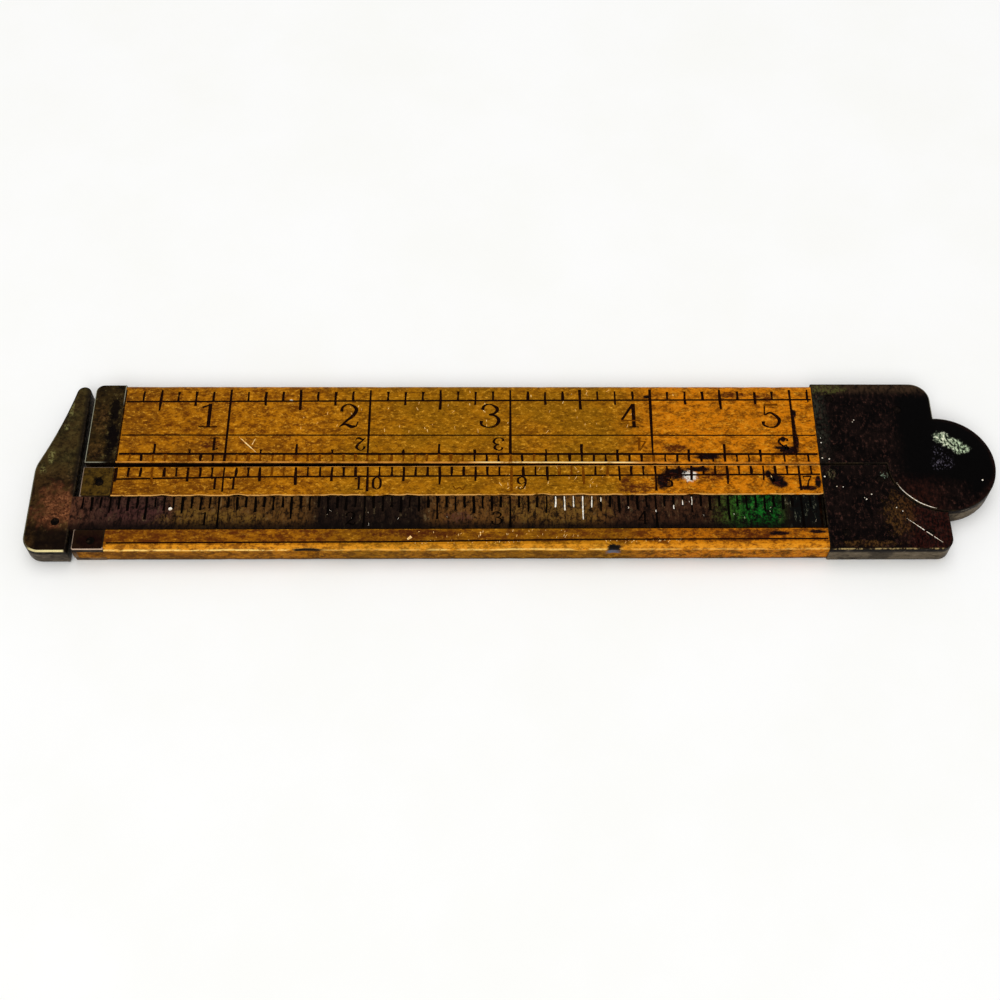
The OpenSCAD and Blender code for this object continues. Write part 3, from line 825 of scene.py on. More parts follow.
def slide_brass():
    """The slide, streaked across by its groove, with a green spill towards its tail."""
    f = Finish("brass_slide", "caliper")
    rubs = f.noise(1.4, 5, 0.8, (1, 3.4, 1))
    mottle = f.noise(1.0, 5, 0.8)
    f.tone = SLIDE_END_TONE
    for x, earlier in SLIDE_TONES[::-1]:
        f.tone = f.mix((f.x, x - 2.5, x + 2.5), earlier, f.tone)
    blush = f.spots([(67.2, -10.8, 2.4, 1.4), (12, -9.6, 5, 1.8)], 0.9, 0.8)
    f.paint((68, 36, 35), blush, (mottle, 0.4, 0.6, 0.1, 0.7))
    ochre = f.spots([(24, -10.6, 9, 1.6), (83, -9.5, 8, 2.6)], 0.9, 0.6)
    f.paint((108, 80, 28), ochre, (mottle, 0.42, 0.62, 0.1, 0.7))
    shifted = f.maths("ADD", f.x, f.about_zero(mottle, 9))
    green = f.mix((mottle, 0.42, 0.62), (1, 12, 5), (18, 96, 26))
    lime = f.times((f.x, 119, 112), (mottle, 0.42, 0.6, 0.2, 0.9))
    spill = f.mix(lime, green, (58, 78, 22))
    f.paint(spill, (shifted, 110, 116), (shifted, 125.4, 122.4))
    tail = f.mix((rubs, 0.58, 0.7), (5, 8, 7), (96, 112, 98))
    f.paint(tail, (shifted, 123.0, 125.4))
    f.paint((122, 104, 70), (rubs, 0.56, 0.7), 0.4)
    f.paint((8, 3, 2), (rubs, 0.53, 0.38, 0, 0.9))
    f.paint((8, 4, 3), (mottle, 0.52, 0.38, 0, 0.9))
    # A painted shadow, with some dirt, along the slide's lower edge by the groove's wall.
    f.paint((9, 4, 3), (f.y, -10.6, -12.4, 0, 0.85))
    f.bump(rubs, 0.015)
    return f.shade((mottle, 0.3, 0.7, 0.6, 0.44), 0.04, 0.5)


# Pale lines on the upper arrises, painted highlights where the tarnish is also rubbed off, as (tone there,
# mask)
RUBBED_AND_HIGHLIT = {
    "jaw": ((222, 206, 150), lambda f: f.either(
        f.times((f.y, -16.1, -16.7), (f.z, 3.68, 3.8), (f.x, -0.55, -0.95)),
        f.times((f.x, -4, -6), 0.12))),
    "plain_leg_tip": ((160, 158, 136), lambda f: f.either(
        (f.x, 1.0, 0.6),
        f.times((f.y, 0.5, 0.2), (f.x, 4.6, 2.4)),
        f.times((f.x, 5.6, 5.9), (f.y, 12, 14), 0.8))),
    "caliper_leg_tip": ((184, 158, 136), lambda f: f.either(
        (f.y, -16.2, -16.5),
        f.times((f.x, 1.0, 0.6), 0.7),
        f.times((f.y, -0.6, -0.2), 0.6))),
    "plain_leg_joint": ((176, 170, 148), lambda f: f.times((f.x, 147.5, 150), (f.y, 8, 11), 0.45)),
    "caliper_leg_joint": ((170, 146, 96), lambda f: f.times(
        (f.y, -16.2, -16.7), (f.noise(0.5, 4, 0.8), 0.46, 0.56), 0.8)),
}


def rubbed_brass(name, body):
    """Arrises that are dark but for pale lines: painted highlights where the tarnish is also rubbed off."""
    f = Finish("brass_rubbed_" + name, body)
    broken = f.noise(0.9, 4, 0.8)
    f.tone = f.mix((broken, 0.42, 0.66, 0, 0.4), (14, 8, 5), (70, 56, 32))
    if name in RUBBED_AND_HIGHLIT:
        tone, mask = RUBBED_AND_HIGHLIT[name]
        f.paint(tone, mask(f), (broken, 0.28, 0.46))
    return f.shade((broken, 0.3, 0.7, 0.5, 0.36), 0.06, 0.4)


def brass_side(name, body, upper, lower):
    """The upright sides, blackest under the face and greyer below."""
    f = Finish(name, body)
    mottle = f.noise(1.0, 5, 0.8, (3, 1, 1))
    cloud = f.noise(0.22, 3, 0.6)
    f.tone = f.mix((f.z, 3.2, 2.5), upper, lower)
    f.paint((168, 152, 128), (mottle, 0.52, 0.72, 0, 0.45))
    f.paint(upper, (mottle, 0.48, 0.34, 0, 0.7))
    f.paint(upper, (cloud, 0.5, 0.62, 0, 0.6))
    # Darker again at the foot: a painted contact shadow.
    f.paint(upper, (f.z, 0.6, 0.1, 0, 0.7))
    return f.shade((mottle, 0.3, 0.7, 0.6, 0.45), 0.04, 0.4)


# The long scratch over the corner of the caliper leg's joint plate, before and after the
# rivet that it crosses, as (x, y, width)
CORNER_SCRATCH = ([(144.8, -11.05, 0.04), (147.5, -13.38, 0.16)],
                  [(149.02, -14.65, 0.13), (150.4, -15.8, 0.06)])


def pin_brass(body):
    f = Finish("brass_pins_" + body, body)
    mottle = patina(f, 1.8, (1, 1, 1), (4, 2, 1), (16, 9, 6), (48, 34, 22))
    if body == "caliper_leg":
        (x, y, _), (end_x, end_y, _) = CORNER_SCRATCH[0][1], CORNER_SCRATCH[1][1]
        along = Vector((end_x - x, end_y - y)).normalized()
        off = f.maths("ADD", f.maths("MULTIPLY", f.maths("SUBTRACT", f.x, x), -along.y),
                      f.maths("MULTIPLY", f.maths("SUBTRACT", f.y, y), along.x))
        line = f.ramp(f.maths("ABSOLUTE", off), 0.08, 0.05)
        f.paint((238, 222, 202), line, (f.x, x - 0.5, x), 0.95)
    return brass_face(f, mottle)


def wood_slots(body):
    return [
        boxwood(body),
        ink(body, body, (22, 6, 3), (74, 34, 6), 0.04),
        wood_edge(body),
        grime(body),
        scraped(body, body, (230, 170, 74), (255, 228, 160)),
        ink(body + "_worn", body, (104, 54, 2), (148, 92, 6), 0.1),
    ]


def brass_slots(name, body, face, side):
    return [
        face,
        ink(name, body, (5, 2, 1), (24, 12, 7), 0.0),
        rubbed_brass(name, body),
        side,
        scraped(name, body, (206, 188, 158), (252, 248, 236)),
    ]


# Sizes that the scales and outlines share

tip_low, tip_high = rule_box("plain_leg_tip")
FREE_X, TIP_X = tip_low[0], tip_high[0]
INNER_Y, OUTER_Y = tip_low[1], tip_high[1]
JOINT_X = rule_box("caliper_leg_top_plate")[0][0]
PLATE_T = round(RULE_T - rule_box("hinge_top_leaf")[0][2], 3)
KNUCKLE_R = rule_box("hinge_top_leaf")[1][0] - LEG_LEN
# Heights of the brass plates on the two faces, and of what lies between them
UPPER, LOWER, BETWEEN = (RULE_T - PLATE_T, RULE_T), (0, PLATE_T), (PLATE_T, RULE_T - PLATE_T)
# How far the inner edges have worn back at the free end
SEAM_WEAR = 0.14
# Where the wood starts behind the wall across each brass tip
WALL_X = min(x for x, y in flat_loops("plain_leg_tip", 2, RULE_T - PLATE_T, -1)[0])

TICK_W, SLIDE_TICK_W, UNDER_TICK_W = 0.44, 0.42, 0.26
LINE_W = 0.36
# Height of the digits of every scale but the plain leg's
LOW_DIGIT_H = 2.6
# The scales' ends on the wood, and on its underside
SCALE_START, SCALE_END, UNDER_END = TIP_X + 0.4, JOINT_X - 0.15, JOINT_X - 0.2
# Where grime has gathered in the wood beside the tips
TIP_GRIME_X = TIP_X + 0.12
# Radius of the rounded outer arrises of the wood, of those along the scales, and of the others
OUTER_ARRIS = 0.85
EDGE_ARRIS = 0.16
WOOD_ARRIS = 0.28
# Rounding of the slide's, the plates', the tips' and the jaw's arrises
SLIDE_ARRIS, PLATE_ARRIS, TIP_ARRIS, JAW_ARRIS = 0.08, 0.18, 0.16, 0.3
# Margin between a mark and the end of the flat that it is cut in
BEYOND = 0.04
# The most that a point on a face may be off it
ON_FACE = 0.01


def tick(x, y_from, y_to, width=TICK_W, **finish):
    """A hand-cut tick, a little out of true and thicker here and there."""
    points = []
    for share in (0, 0.5, 1):
        lean = chance.uniform(-0.06, 0.06)
        points.append((x + lean, y_from + (y_to - y_from) * share, width * chance.uniform(0.65, 1.35)))
    return Mark(stroke_outline(points), **finish)


def graduation(step, spans, start, end, shift, worn=lambda x: 0, **finish):
    """Ticks every step along X between start and end.

    spans(i) gives each one's y from and to, or None, and worn(x) the chance that its ink is
    nearly gone.
    """
    marks = []
    i = 1
    while i * step + shift < end:
        x = i * step + shift
        span = spans(i)
        if x > start and span:
            faded = chance.random() < worn(x)
            marks.append(tick(x, *span, slot=FAINT if faded else INK, **finish))
        i += 1
    return marks


def tick_length(i, parts, lengths):
    """The length of a scale's i-th tick, from those at each inch, half, quarter and so on."""
    return next((long for k, long in enumerate(lengths) if i * 2 ** k % parts == 0), lengths[-1])


def across(line, start, end, drop=0.0):
    """A long line's points (x, y), cut to where it starts and ends. drop is its fall at the end."""
    return [(start, line[0][1]), *line[1:-1], (end, line[-1][1] - drop)]


def flecks(count, x_span, y_span, long, wide):
    """Short bright nicks, strewn over part of a face."""
    marks = []
    for _ in range(count):
        x, y = chance.uniform(*x_span), chance.uniform(*y_span)
        turn = math.radians(chance.gauss(80, 25))
        run = chance.uniform(0.4, 1) * long
        end = (x + run * math.cos(turn), y + run * math.sin(turn))
        marks.append(bar_mark((x, y), end, wide * chance.uniform(0.6, 1.3), depth=NICK_DEPTH, slot=PALE))
    return marks


def all_flecks(rows):
    return [mark for row in rows for mark in flecks(*row)]


# Scales of the plain leg, whose outer edge is read in eighths and inner edge in twelfths
PLAIN_SHIFT = -0.1
OUTER_LINE = ((0, 13.12), (60, 13.36), (152, 13.7))
MIDDLE_LINE_Y, INNER_LINE_Y = 5.95, 2.0
MIDDLE_LINE_W, INNER_LINE_W = 0.28, 0.46
DIGIT_Y, DIGIT_H = 10.15, 5.1
SMALL_DIGIT_Y, SMALL_DIGIT_H = 4.05, 2.7
# How far before their inch marks the digits stand, and the small ones, of which the 2 is nearer
DIGIT_BACK, SMALL_DIGIT_BACK, NEAR_DIGIT_BACK = 3.7, 2.1, 1.4
# Strokes of the large and the small numerals whose ink has nearly gone
FADED_STROKES = {"4": (2,), "5": (0,)}
FADED_SMALL_STROKES = {"4": (0, 1, 2, 3)}
PLAIN_SCRATCHES = [[(27.45, 5.6, 0.05), (29.0, 4.1, 0.22), (30.83, 2.3, 0.06)],
                   [(30.45, 5.23, 0.06), (29.95, 3.92, 0.18)]]
# Nicks, as (count, x from and to, y from and to, length, width)
PLAIN_FLECKS = [(30, (52, 98), (6.3, 12.8), 0.8, 0.08), (9, (36, 50), (6.3, 12), 0.6, 0.08),
                (9, (64, 112), (14, 15.8), 0.7, 0.08)]


def plain_top_marks():
    start, end = SCALE_START, SCALE_END

    def line_y(i):
        x = i * INCH / 8
        (x0, y0), (x1, y1) = OUTER_LINE[:2] if x < OUTER_LINE[1][0] else OUTER_LINE[1:]
        return y0 + (y1 - y0) * (x - x0) / (x1 - x0)

    def eighths(i):
        past = {4: 2.0, 2: 1.0, 6: 1.0}.get(i % 8, 0)
        top = 15.75 if i % 4 == 0 else 15.35
        return top + chance.uniform(-0.1, 0.1), INNER_LINE_Y if i % 8 == 0 else line_y(i) - past

    def twelfths(i):
        return INNER_Y + WOOD_ARRIS + BEYOND, INNER_LINE_Y

    def quarters(i):
        rise = {6: 2.1, 3: 0.95, 9: 0.95}.get(i % 12)
        return rise and (INNER_LINE_Y - 0.1, INNER_LINE_Y + rise)

    def worn(x):
        return 0.95 if 26 < x < 68 else 0.6 if x < 26 else 0.2 if x < 100 else 0.08

    marks = graduation(INCH / 8, eighths, start, end, PLAIN_SHIFT)
    marks += graduation(INCH / 12, twelfths, start, end, PLAIN_SHIFT, worn)
    marks += graduation(INCH / 12, quarters, start, end, PLAIN_SHIFT)
    marks += ruled(across(OUTER_LINE, start, end, 0.08), LINE_W)
    marks += ruled([(start, MIDDLE_LINE_Y), (end, MIDDLE_LINE_Y)], MIDDLE_LINE_W)
    marks += ruled([(start, INNER_LINE_Y), (end, INNER_LINE_Y)], INNER_LINE_W)
    marks.append(bar_mark((JOINT_X - 0.75, 13.1), (JOINT_X - 0.75, 15.8), 0.3))
    marks.append(bar_mark((TIP_GRIME_X, INNER_Y + 0.4), (TIP_GRIME_X, OUTER_Y - 1), 0.22, slot=SIDE))
    for inch in range(1, 6):
        x = inch * INCH + PLAIN_SHIFT
        digit = str(inch)
        small_x = x - (NEAR_DIGIT_BACK if inch == 2 else SMALL_DIGIT_BACK)
        marks += numeral_marks(digit, x - DIGIT_BACK, DIGIT_Y, DIGIT_H, weight=1.05,
                               faded=FADED_STROKES.get(digit, ()))
        marks += numeral_marks(digit, small_x, SMALL_DIGIT_Y, SMALL_DIGIT_H, turn=-1, weight=1.4,
                               faded=FADED_SMALL_STROKES.get(digit, ()))
    return marks + [scratch(points) for points in PLAIN_SCRATCHES] + all_flecks(PLAIN_FLECKS)


# Scales of the caliper leg, whose inner edge is read in twelfths
CALIPER_SHIFT = 0.1
TWELFTHS_LINE = ((0, -2.75), (30, -2.35), (152, -2.1))
OUTER_SCRIBE = ((0, -15.52), (55, -15.42), (88, -15.05), (152, -14.98))
SCRIBE_W = 0.32
TALL_TWELFTHS = {0: -5.4, 6: -4.05, 3: -3.3, 9: -3.3}
# The numbers, as (text, x, y, gap between the digits)
CALIPER_NUMBERS = [("11", 25.65, -3.6, 1.4), ("10", 50.97, -3.7, 1.35), ("9", 78.1, -3.75, 0),
                   ("8", 103.8, -3.3, 0), ("7", 128.4, -3.7, 0)]
SQUIGGLE = [(66.0, -4.3, 0.2), (66.5, -5.0, 0.2), (67.1, -4.6, 0.2), (67.7, -5.1, 0.2), (68.2, -4.3, 0.2)]
CALIPER_SCRATCHES = [[(122.0, -2.2, 0.04), (122.2, -3.0, 0.2), (121.9, -3.7, 0.05)],
                     [(58.3, -14.95, 0.3), (58.95, -14.4, 0.55)],
                     [(70.87, -14.3, 0.08), (70.87, -13.55, 0.26)]]
CALIPER_FLECKS = [(26, (74, 96), (-5.6, -0.6), 0.8, 0.08), (30, (60, 90), (-14.7, -13.2), 0.5, 0.07),
                  (36, (56, 78), (-15.85, -15.3), 0.35, 0.07), (26, (92, 106), (-15.85, -15.2), 0.5, 0.09)]


def caliper_top_marks():
    edge = -INNER_Y - EDGE_ARRIS - BEYOND

    def twelfths(i):
        return edge, TALL_TWELFTHS.get(i % 12, -2.3)

    def worn(x):
        return 0.4 if 79 < x < 96 else 0.05 if x < 100 else 0

    marks = graduation(INCH / 12, twelfths, SCALE_START, SCALE_END, CALIPER_SHIFT, worn)
    marks += ruled(across(TWELFTHS_LINE, SCALE_START, SCALE_END), LINE_W)
    marks += ruled(across(OUTER_SCRIBE, SCALE_START, SCALE_END), SCRIBE_W)
    for text, x, y, gap in CALIPER_NUMBERS:
        marks += numeral_marks(text, x, y, LOW_DIGIT_H, weight=1.3, gap=gap)
    marks.append(bar_mark((TIP_GRIME_X, -0.4), (TIP_GRIME_X, -5.8), 0.2, slot=SIDE))
    marks.append(bar_mark((TIP_GRIME_X, -13.0), (TIP_GRIME_X, -15.8), 0.24, slot=SIDE))
    marks.append(Mark(stroke_outline(SQUIGGLE), slot=FAINT))
    return marks + [scratch(points) for points in CALIPER_SCRATCHES] + all_flecks(CALIPER_FLECKS)


# Scales of the undersides, with their ticks' lengths from the inches down
UNDER_LENGTHS = (4.6, 3.5, 2.6, 2)
UNDER_LINE_W = 0.18
UNDER_DIGIT_BACK, UNDER_DIGIT_IN = 2.0, 3.9


def under_scale_marks(sign, edge, parts):
    """A scale of equal parts of an inch along one edge of a leg's underside."""
    def spans(i):
        return edge, edge + sign * tick_length(i, parts, UNDER_LENGTHS)

    marks = graduation(INCH / parts, spans, SCALE_START, UNDER_END, 0, lambda x: 0.2, width=UNDER_TICK_W)
    line_y = edge + sign * UNDER_LENGTHS[-1]
    marks += ruled([(SCALE_START, line_y), (UNDER_END, line_y)], UNDER_LINE_W)
    for inch in range(1, 6):
        x, y = inch * INCH - UNDER_DIGIT_BACK, edge + sign * UNDER_DIGIT_IN
        marks += numeral_marks(str(inch), x, y, LOW_DIGIT_H, face=-1, weight=1.2)
    return marks


def under_marks(sign):
    """Sixteenths along the outer edge and tenths along the inner one. sign is -1 on the caliper leg."""
    margin = WOOD_ARRIS + BEYOND
    marks = under_scale_marks(-sign, sign * (OUTER_Y - margin), 16)
    return marks + under_scale_marks(sign, sign * (INNER_Y + margin), 10)


# Wear

# Distance between the sections of a leg, which its wear bends
LEG_STEP = 0.5
# How far the wear of the outer edges and of the inner ones reaches across a leg
OUTER_REACH, INNER_REACH = 1.5, 0.6
# How far down from the upper face the inner edges and the groove's lip have worn
SEAM_DROP, LIP_DROP = 1.2, 0.5
# Where along the rule the seam starts to open, and how much farther on it is open in full
SEAM_X, SEAM_RUN = 110, 90
# The height where knocks are deepest, how far up and down they reach, and their share each way
KNOCK_Z, KNOCK_REACH, KNOCK_SHARE = 3.3, 1.1, 0.6


def leg_xs():
    count = round((JOINT_X - TIP_X) / LEG_STEP)
    return [TIP_X + (JOINT_X - TIP_X) * i / count for i in range(count + 1)]


def ripple(x, scale, depth, seed):
    """A hollow of 0 to depth at a place along X, from smooth noise."""
    return max(0.0, noise.noise(Vector((x * scale, seed, 0)))) * depth


def nearness(value, middle, reach):
    """1 at the middle, falling to 0 at the reach."""
    return max(0.0, 1 - abs(value - middle) / reach)


def outer_wear(outer, knocks=()):
    """Wear along a leg's outer edge, which fades out across the leg.

    knocks are dents in its upper arris, as (x, half length, depth).
    """
    sign = math.copysign(1, outer)

    def shift(p):
        near = nearness(p.y, outer, OUTER_REACH)
        into = ripple(p.x, 0.35, 0.08, outer) * near
        high = near * nearness(p.z, KNOCK_Z, KNOCK_REACH)
        deep = sum(depth * max(0.0, 1 - ((p.x - x) / half) ** 2) for x, half, depth in knocks) * high
        return Vector((0, -sign * (into + deep * KNOCK_SHARE), -deep * KNOCK_SHARE))
    return shift


def seam_wear(inner):
    """Wear on the upper part of a leg's inner edge, deepest at the free end, which opens the seam."""
    sign = math.copysign(1, inner)

    def shift(p):
        near = nearness(p.y, inner, INNER_REACH) if p.z > RULE_T - SEAM_DROP else 0
        share = min(1.0, max(0.0, (SEAM_X - p.x) / SEAM_RUN))
        return Vector((0, sign * near * share * (SEAM_WEAR + ripple(p.x, 0.2, 0.05, inner)), 0))
    return shift


def lip_wear(lip):
    """The ragged upper lip of the groove, which only ever gives way from the slide."""
    def shift(p):
        near = nearness(p.y, lip, INNER_REACH) if p.z > RULE_T - LIP_DROP else 0
        return Vector((0, (ripple(p.x, 0.3, 0.5, 7) + ripple(p.x, 1.3, 0.2, 9)) * near, 0))
    return shift


# The wooden legs

CALIPER_KNOCKS = ((41.1, 2.6, 0.4), (93.8, 1.2, 0.6), (52.0, 3.0, 0.12), (79, 4, 0.1))


def plain_stock():
    shape = Shape()
    section = rounded([(INNER_Y, 0), (OUTER_Y, 0), (OUTER_Y, RULE_T), (INNER_Y, RULE_T)],
                      lambda p: OUTER_ARRIS if p[0] > INNER_Y and p[1] > 0 else WOOD_ARRIS, ARC_STEPS)
    under = under_marks(1)

    def slot_at(y, z):
        if y < INNER_Y + ON_FACE:
            return SIDE
        return EDGE if z > RULE_T - OUTER_ARRIS else FACE

    shape.bar(section, leg_xs(), plain_top_marks(), under, slot_at=slot_at)
    shape.bend(outer_wear(OUTER_Y))
    outline = clipped(straightened(flat_loops("plain_leg_tip", 2, RULE_T, 1)[0]), 0, WALL_X, 1)
    shape.slab(outline, *BETWEEN, side=FACE)
    shape.bend(seam_wear(INNER_Y))
    shape.build("plain_leg_wood", "plain_leg_stock", wood_slots("plain_leg"))


def groove_section():
    """The caliper leg's section, with its dovetail groove, as (y, z) points."""
    return straightened(flat_loops("caliper_leg_stock", 0, JOINT_X, 1)[0])


def between_plates():
    """The groove's section in the height between the brass plates."""
    return clipped(clipped(groove_section(), 1, BETWEEN[0], 1), 1, BETWEEN[1], -1)


def caliper_stock():
    shape = Shape()
    section = groove_section()
    lips = sorted(y for y, z in section if z > RULE_T - ON_FACE)[1:3]
    floor_z = min(z for y, z in section if z > 0.1)

    def radius_at(p):
        y, z = p
        if z < ON_FACE:
            return WOOD_ARRIS
        if z < RULE_T - ON_FACE:
            return 0
        return OUTER_ARRIS if y < lips[0] - 1 else EDGE_ARRIS

    def slot_at(y, z):
        if z > RULE_T - EDGE_ARRIS or (y < lips[0] - 1 and z > RULE_T - OUTER_ARRIS):
            return EDGE
        in_groove = lips[0] - 1 < y < lips[1] + 1 and z > floor_z - ON_FACE
        return SIDE if in_groove or y > -INNER_Y - ON_FACE else FACE

    under = under_marks(-1)
    shape.bar(rounded(section, radius_at, ARC_STEPS), leg_xs(), caliper_top_marks(), under, slot_at=slot_at)
    shape.bend(outer_wear(-OUTER_Y, CALIPER_KNOCKS))
    shape.bend(lip_wear(lips[1]))
    shape.bar(between_plates(), [WALL_X, TIP_X + BEYOND])
    shape.bend(seam_wear(-INNER_Y))
    shape.build("caliper_leg_wood", "caliper_leg_stock", wood_slots("caliper_leg"))


# The caliper's slide, read in sixteenths

SLIDE_SHIFT = -0.2
SLIDE_LENGTHS = (4.6, 3.5, 3.0, 2.3)
SLIDE_DIGIT_BACK, SLIDE_DIGIT_IN = 2.3, 2
# Sixteenths whose filling has gone, and those that have lost a part of it, as (y from, y to)
BARE_TICKS = {53: None, 54: None, 55: None, 56: None, 57: None, 58: (-6.6, -7.5)}
HALF_BARE_TICKS = {64: (-9.2, -9.6), 66: (-8.2, -9.0), 67: (-7.2, -8.2), 68: (-6.6, -8.2), 61: (-8.6, -8.9)}
SLIDE_FLECKS = [(7, (41, 66), (-12.2, -9), 0.5, 0.05), (9, (104, 130), (-12, -7), 0.5, 0.05)]


def slide():
    shape = Shape()
    high_x = rule_box("caliper_slide")[1][0]
    section = straightened(flat_loops("caliper_slide", 0, high_x, 1)[0])
    top_ys = [y for y, z in section if z > RULE_T - 0.1]
    top_y, bottom_y = max(top_ys), min(top_ys)
    floor_z = min(z for y, z in section)
    section = rounded(section, lambda p: SLIDE_ARRIS if p[1] > RULE_T - 0.1 else 0)
    edge = top_y - SLIDE_ARRIS - BEYOND
    lengths = (top_y - bottom_y - 0.25, *SLIDE_LENGTHS)

    def sixteenths(i):
        return edge, edge - tick_length(i, 16, lengths) * (chance.uniform(0.9, 1.05) if i % 16 else 1)

    marks = graduation(INCH / 16, sixteenths, 0.8, high_x - 0.5, SLIDE_SHIFT, width=SLIDE_TICK_W)
    for ticks, width in ((BARE_TICKS, 0.2), (HALF_BARE_TICKS, 0.13)):
        for i, span in ticks.items():
            y_from, y_to = span or sixteenths(i)
            x = i * INCH / 16 + SLIDE_SHIFT
            marks.append(tick(x, y_from, y_to, width, depth=BARE_DEPTH, slot=PALE))
    for inch in range(1, 5):
        x = inch * INCH + SLIDE_SHIFT - SLIDE_DIGIT_BACK
        marks += numeral_marks(str(inch), x, bottom_y + SLIDE_DIGIT_IN, LOW_DIGIT_H, weight=1.1)
    marks += [dot(16.78, -8.79, 0.34), *all_flecks(SLIDE_FLECKS)]
    ceiling = channel_ceiling()
    channel = straightened(flat_loops("caliper_slide", 2, ceiling, -1)[0])
    under = [Mark(channel, depth=ceiling - floor_z, slot=FACE)]
    xs = [rule_box("caliper_jaw")[1][0] - 0.3, high_x]
    shape.bar(section, xs, marks, under, bottom_z=floor_z)
    slots = brass_slots("slide", "caliper", slide_brass(), grime("caliper"))
    shape.build("caliper_slide_bar", "caliper_slide", slots)


def channel_ceiling():
    """Height of the top of the channel that the stop pin runs in."""
    heights = {round(p.z, 3) for p in rule_points("caliper_slide")}
    pin_top = rule_box("slide_stop_pin")[1][2]
    return min(z for z in heights if pin_top < z < RULE_T - 0.5)


# Brass plates, whose outlines come from the CAD nodes' own faces

def plate(name, node, heights, materials, arris=PLATE_ARRIS, top=()):
    shape = Shape()
    add_plates(shape, node, heights, arris, top)
    shape.build(name, node, materials)


def add_plates(shape, node, heights, arris, top=()):
    z0, z1 = heights
    loops = flat_loops(node, 2, z1, 1) if z1 == RULE_T else flat_loops(node, 2, z0, -1)
    holes = [loop for loop in loops if any(other is not loop and inside(loop[0], other) for other in loops)]
    for outline in loops:
        if outline not in holes:
            mine = [hole for hole in holes if inside(hole[0], outline)]
            shape.slab(straightened(outline), z0, z1, arris, mine, top)


def inside(point, loop):
    x, y = point
    crossed = [x < x0 + (y - y0) * (x1 - x0) / (y1 - y0)
               for (x0, y0), (x1, y1) in sides(loop) if (y0 > y) != (y1 > y)]
    return sum(crossed) % 2 == 1


def tip(name, node, face, side):
    """A brass tip: two plates round the end of the wood, and the wall across it."""
    shape = Shape()
    add_plates(shape, node, UPPER, TIP_ARRIS)
    add_plates(shape, node, LOWER, TIP_ARRIS)
    body = BODY_OF[node]
    if body == "plain_leg":
        wall = clipped(straightened(flat_loops(node, 2, RULE_T, 1)[0]), 0, WALL_X, -1)
        shape.slab(wall, BETWEEN[0] - BEYOND, BETWEEN[1] + BEYOND)
    else:
        shape.bar(between_plates(), [FREE_X, WALL_X], slot_at=lambda y, z: SIDE)
    shape.bend(seam_wear(INNER_Y if body == "plain_leg" else -INNER_Y))
    shape.build(name, node, brass_slots(body + "_tip", body, face, side))


def pins(node, material):
    """Riveted pins, filed flush, with their edges a little rounded."""
    shape = Shape()
    for loop in flat_loops(node, 2, RULE_T, 1):
        x = sum(p[0] for p in loop) / len(loop)
        y = sum(p[1] for p in loop) / len(loop)
        r = max(math.dist(p, (x, y)) for p in loop) - 0.02
        foot = [(r * 0.6, 0), (r * 0.93, 0.03), (r, 0.1)]
        shape.lathe(x, y, foot + [(radius, RULE_T - z) for radius, z in reversed(foot)])
    shape.build(node + "_dressed", node, [material])


# Nicks in the joint's plates, as (x, y, radius)
SEAT_NICKS = [(138.3, -7.2, 0.14), (139.3, -6.2, 0.12), (138.0, -6.9, 0.08), (131.5, -2.57, 0.15),
              (133.4, -4.6, 0.1), (134.5, -4.7, 0.1), (143.3, -8.9, 0.12), (144.3, -9.6, 0.1)]
KNUCKLE_NICKS = [(145.8, 11.85, 0.16), (138.0, 9.2, 0.1), (137.7, 8.8, 0.08), (131.6, 4.4, 0.12),
                 (131.6, 5.4, 0.08), (131.5, 1.2, 0.14), (132.7, 1.0, 0.14), (159.2, -3.35, 0.16)]
# The scratch round the knuckle, as (degrees round the pivot, width), and its distance from the rim
KNUCKLE_SCRATCH = ((205, 0.04), (218, 0.11), (236, 0.16), (250, 0.12), (257, 0.04))
KNUCKLE_SCRATCH_IN = 0.32


def knuckle_scratch():
    r = KNUCKLE_R - KNUCKLE_SCRATCH_IN
    arc = []
    for turn, width in KNUCKLE_SCRATCH:
        ray = math.radians(turn)
        arc.append((LEG_LEN + r * math.cos(ray), r * math.sin(ray), width))
    return scratch(arc)


seat_marks = [scratch(part) for part in CORNER_SCRATCH] + [dot(*nick) for nick in SEAT_NICKS]
knuckle_marks = [knuckle_scratch()] + [dot(*nick) for nick in KNUCKLE_NICKS]

plain_stock()
caliper_stock()
slide()

legs = ("plain_leg", "caliper_leg")
pinned = {body: pin_brass(body) for body in FROM_RULE}
joint_side = {body: brass_side("brass_joint_side_" + body, body, (12, 6, 4), (96, 84, 66)) for body in legs}
tip_side = {body: brass_side("brass_tip_side_" + body, body, (26, 16, 9), (116, 88, 58)) for body in legs}
tip_face = {body: tip_brass(body) for body in legs}
jaw_side = brass_side("brass_jaw_side", "caliper", (10, 7, 4), (74, 64, 52))
knuckle, seat = (brass_slots(body + "_joint", body, joint_brass(body), joint_side[body]) for body in legs)

for body, name in zip(legs, ("plain_tip_cap", "caliper_tip_cap")):
    tip(name, body + "_tip", tip_face[body], tip_side[body])
plate("caliper_top_plate", "caliper_leg_top_plate", UPPER, seat, top=seat_marks)
plate("caliper_bottom_plate", "caliper_leg_bottom_plate", LOWER, seat)
plate("knuckle_top_leaf", "hinge_top_leaf", UPPER, knuckle, top=knuckle_marks)
plate("knuckle_bottom_leaf", "hinge_bottom_leaf", LOWER, knuckle)
plate("jaw", "caliper_jaw", (0, RULE_T), brass_slots("jaw", "caliper", jaw_brass(), jaw_side), JAW_ARRIS)
for node in ("caliper_leg_tip_rivets", "caliper_leg_plate_rivets", "caliper_leg_tang_pin",
             "plain_leg_tip_rivets", "plain_leg_plate_rivets", "plain_leg_tang_pin", "jaw_rivet"):
    pins(node, tip_face["plain_leg"] if node == "plain_leg_tip_rivets" else pinned[BODY_OF[node]])

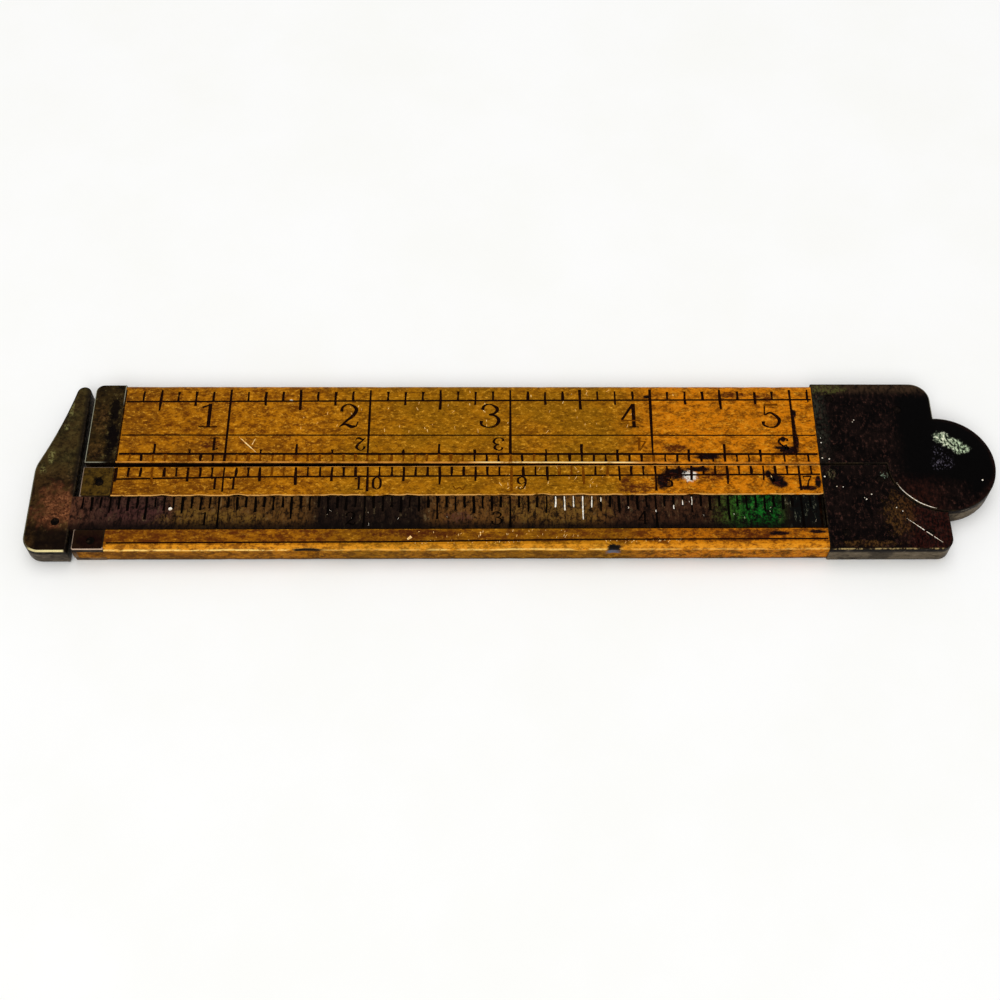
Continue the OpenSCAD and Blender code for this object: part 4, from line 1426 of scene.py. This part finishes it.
# The CAD nodes that show as they are, with these finishes
carried_over = {"hinge_tongue": joint_side["caliper_leg"], "hinge_filler": joint_side["plain_leg"],
                "slide_stop_pin": pinned["caliper_leg"], "hinge_pivot_pin": knuckle[FACE]}
for node, material in carried_over.items():
    obj = frame["nodes"][node]
    obj.data.materials.clear()
    obj.data.materials.append(material)


# Floor, light and camera

FLOOR_SIZE, FLOOR_DROP = 3, 0.0002
# Where the camera aims, in the rule's millimetres, and how far off it stands
CAMERA_AIM, CAMERA_FAR = (74.244, -4.882, 0), 264.17 * MM
# Its azimuth, elevation and roll in degrees
CAMERA_TURN = (0.119, 60.055, -0.247)
CAMERA_LENS, CAMERA_SENSOR = 53.47, 36


def floor():
    mesh = bpy.data.meshes.new("floor")
    square = ((-1, -1), (1, -1), (1, 1), (-1, 1))
    mesh.from_pydata([(x * FLOOR_SIZE, y * FLOOR_SIZE, -FLOOR_DROP) for x, y in square], [], [(0, 1, 2, 3)])
    f = Finish("floor_white", "caliper_leg")
    f.tone = f.mix((f.noise(0.03, 4), 0.3, 0.7), (254, 254, 253), (252, 252, 249))
    mesh.materials.append(f.shade(0.9, 0.1))
    added("floor", mesh)


def light(name, place, size, power):
    """A rectangular light that looks at the middle of the rule."""
    data = bpy.data.lights.new(name, "AREA")
    data.shape = "RECTANGLE"
    data.size, data.size_y = size
    data.energy = power
    obj = added(name, data)
    obj.location = place
    obj.rotation_mode = "QUATERNION"
    obj.rotation_quaternion = (-Vector(place)).to_track_quat("-Z", "Y")


def camera():
    azimuth, elevation, roll = (math.radians(a) for a in CAMERA_TURN)
    matrix = Matrix.Rotation(azimuth, 4, "Z") @ Matrix.Rotation(math.pi / 2 - elevation, 4, "X")
    matrix = matrix @ Matrix.Rotation(roll, 4, "Z")
    matrix.translation = to_row @ Vector(CAMERA_AIM) + matrix.col[2].to_3d() * CAMERA_FAR
    data = bpy.data.cameras.new("camera")
    data.sensor_width = CAMERA_SENSOR
    data.lens = CAMERA_LENS
    data.clip_start, data.clip_end = 0.01, 10
    obj = added("camera", data)
    obj.matrix_world = matrix
    bpy.context.scene.camera = obj


def surroundings():
    world = bpy.data.worlds.new("studio")
    world.use_nodes = True
    background = world.node_tree.nodes["Background"]
    background.inputs["Color"].default_value = (1, 1, 1, 1)
    background.inputs["Strength"].default_value = 0.56
    bpy.context.scene.world = world
    bpy.context.scene.view_settings.view_transform = "Standard"
    light("overhead", (0.0, 0.3, 0.9), (0.7, 0.7), 2.3)
    light("front", (-0.15, -0.9, 0.9), (0.9, 0.6), 6)


floor()
surroundings()
camera()
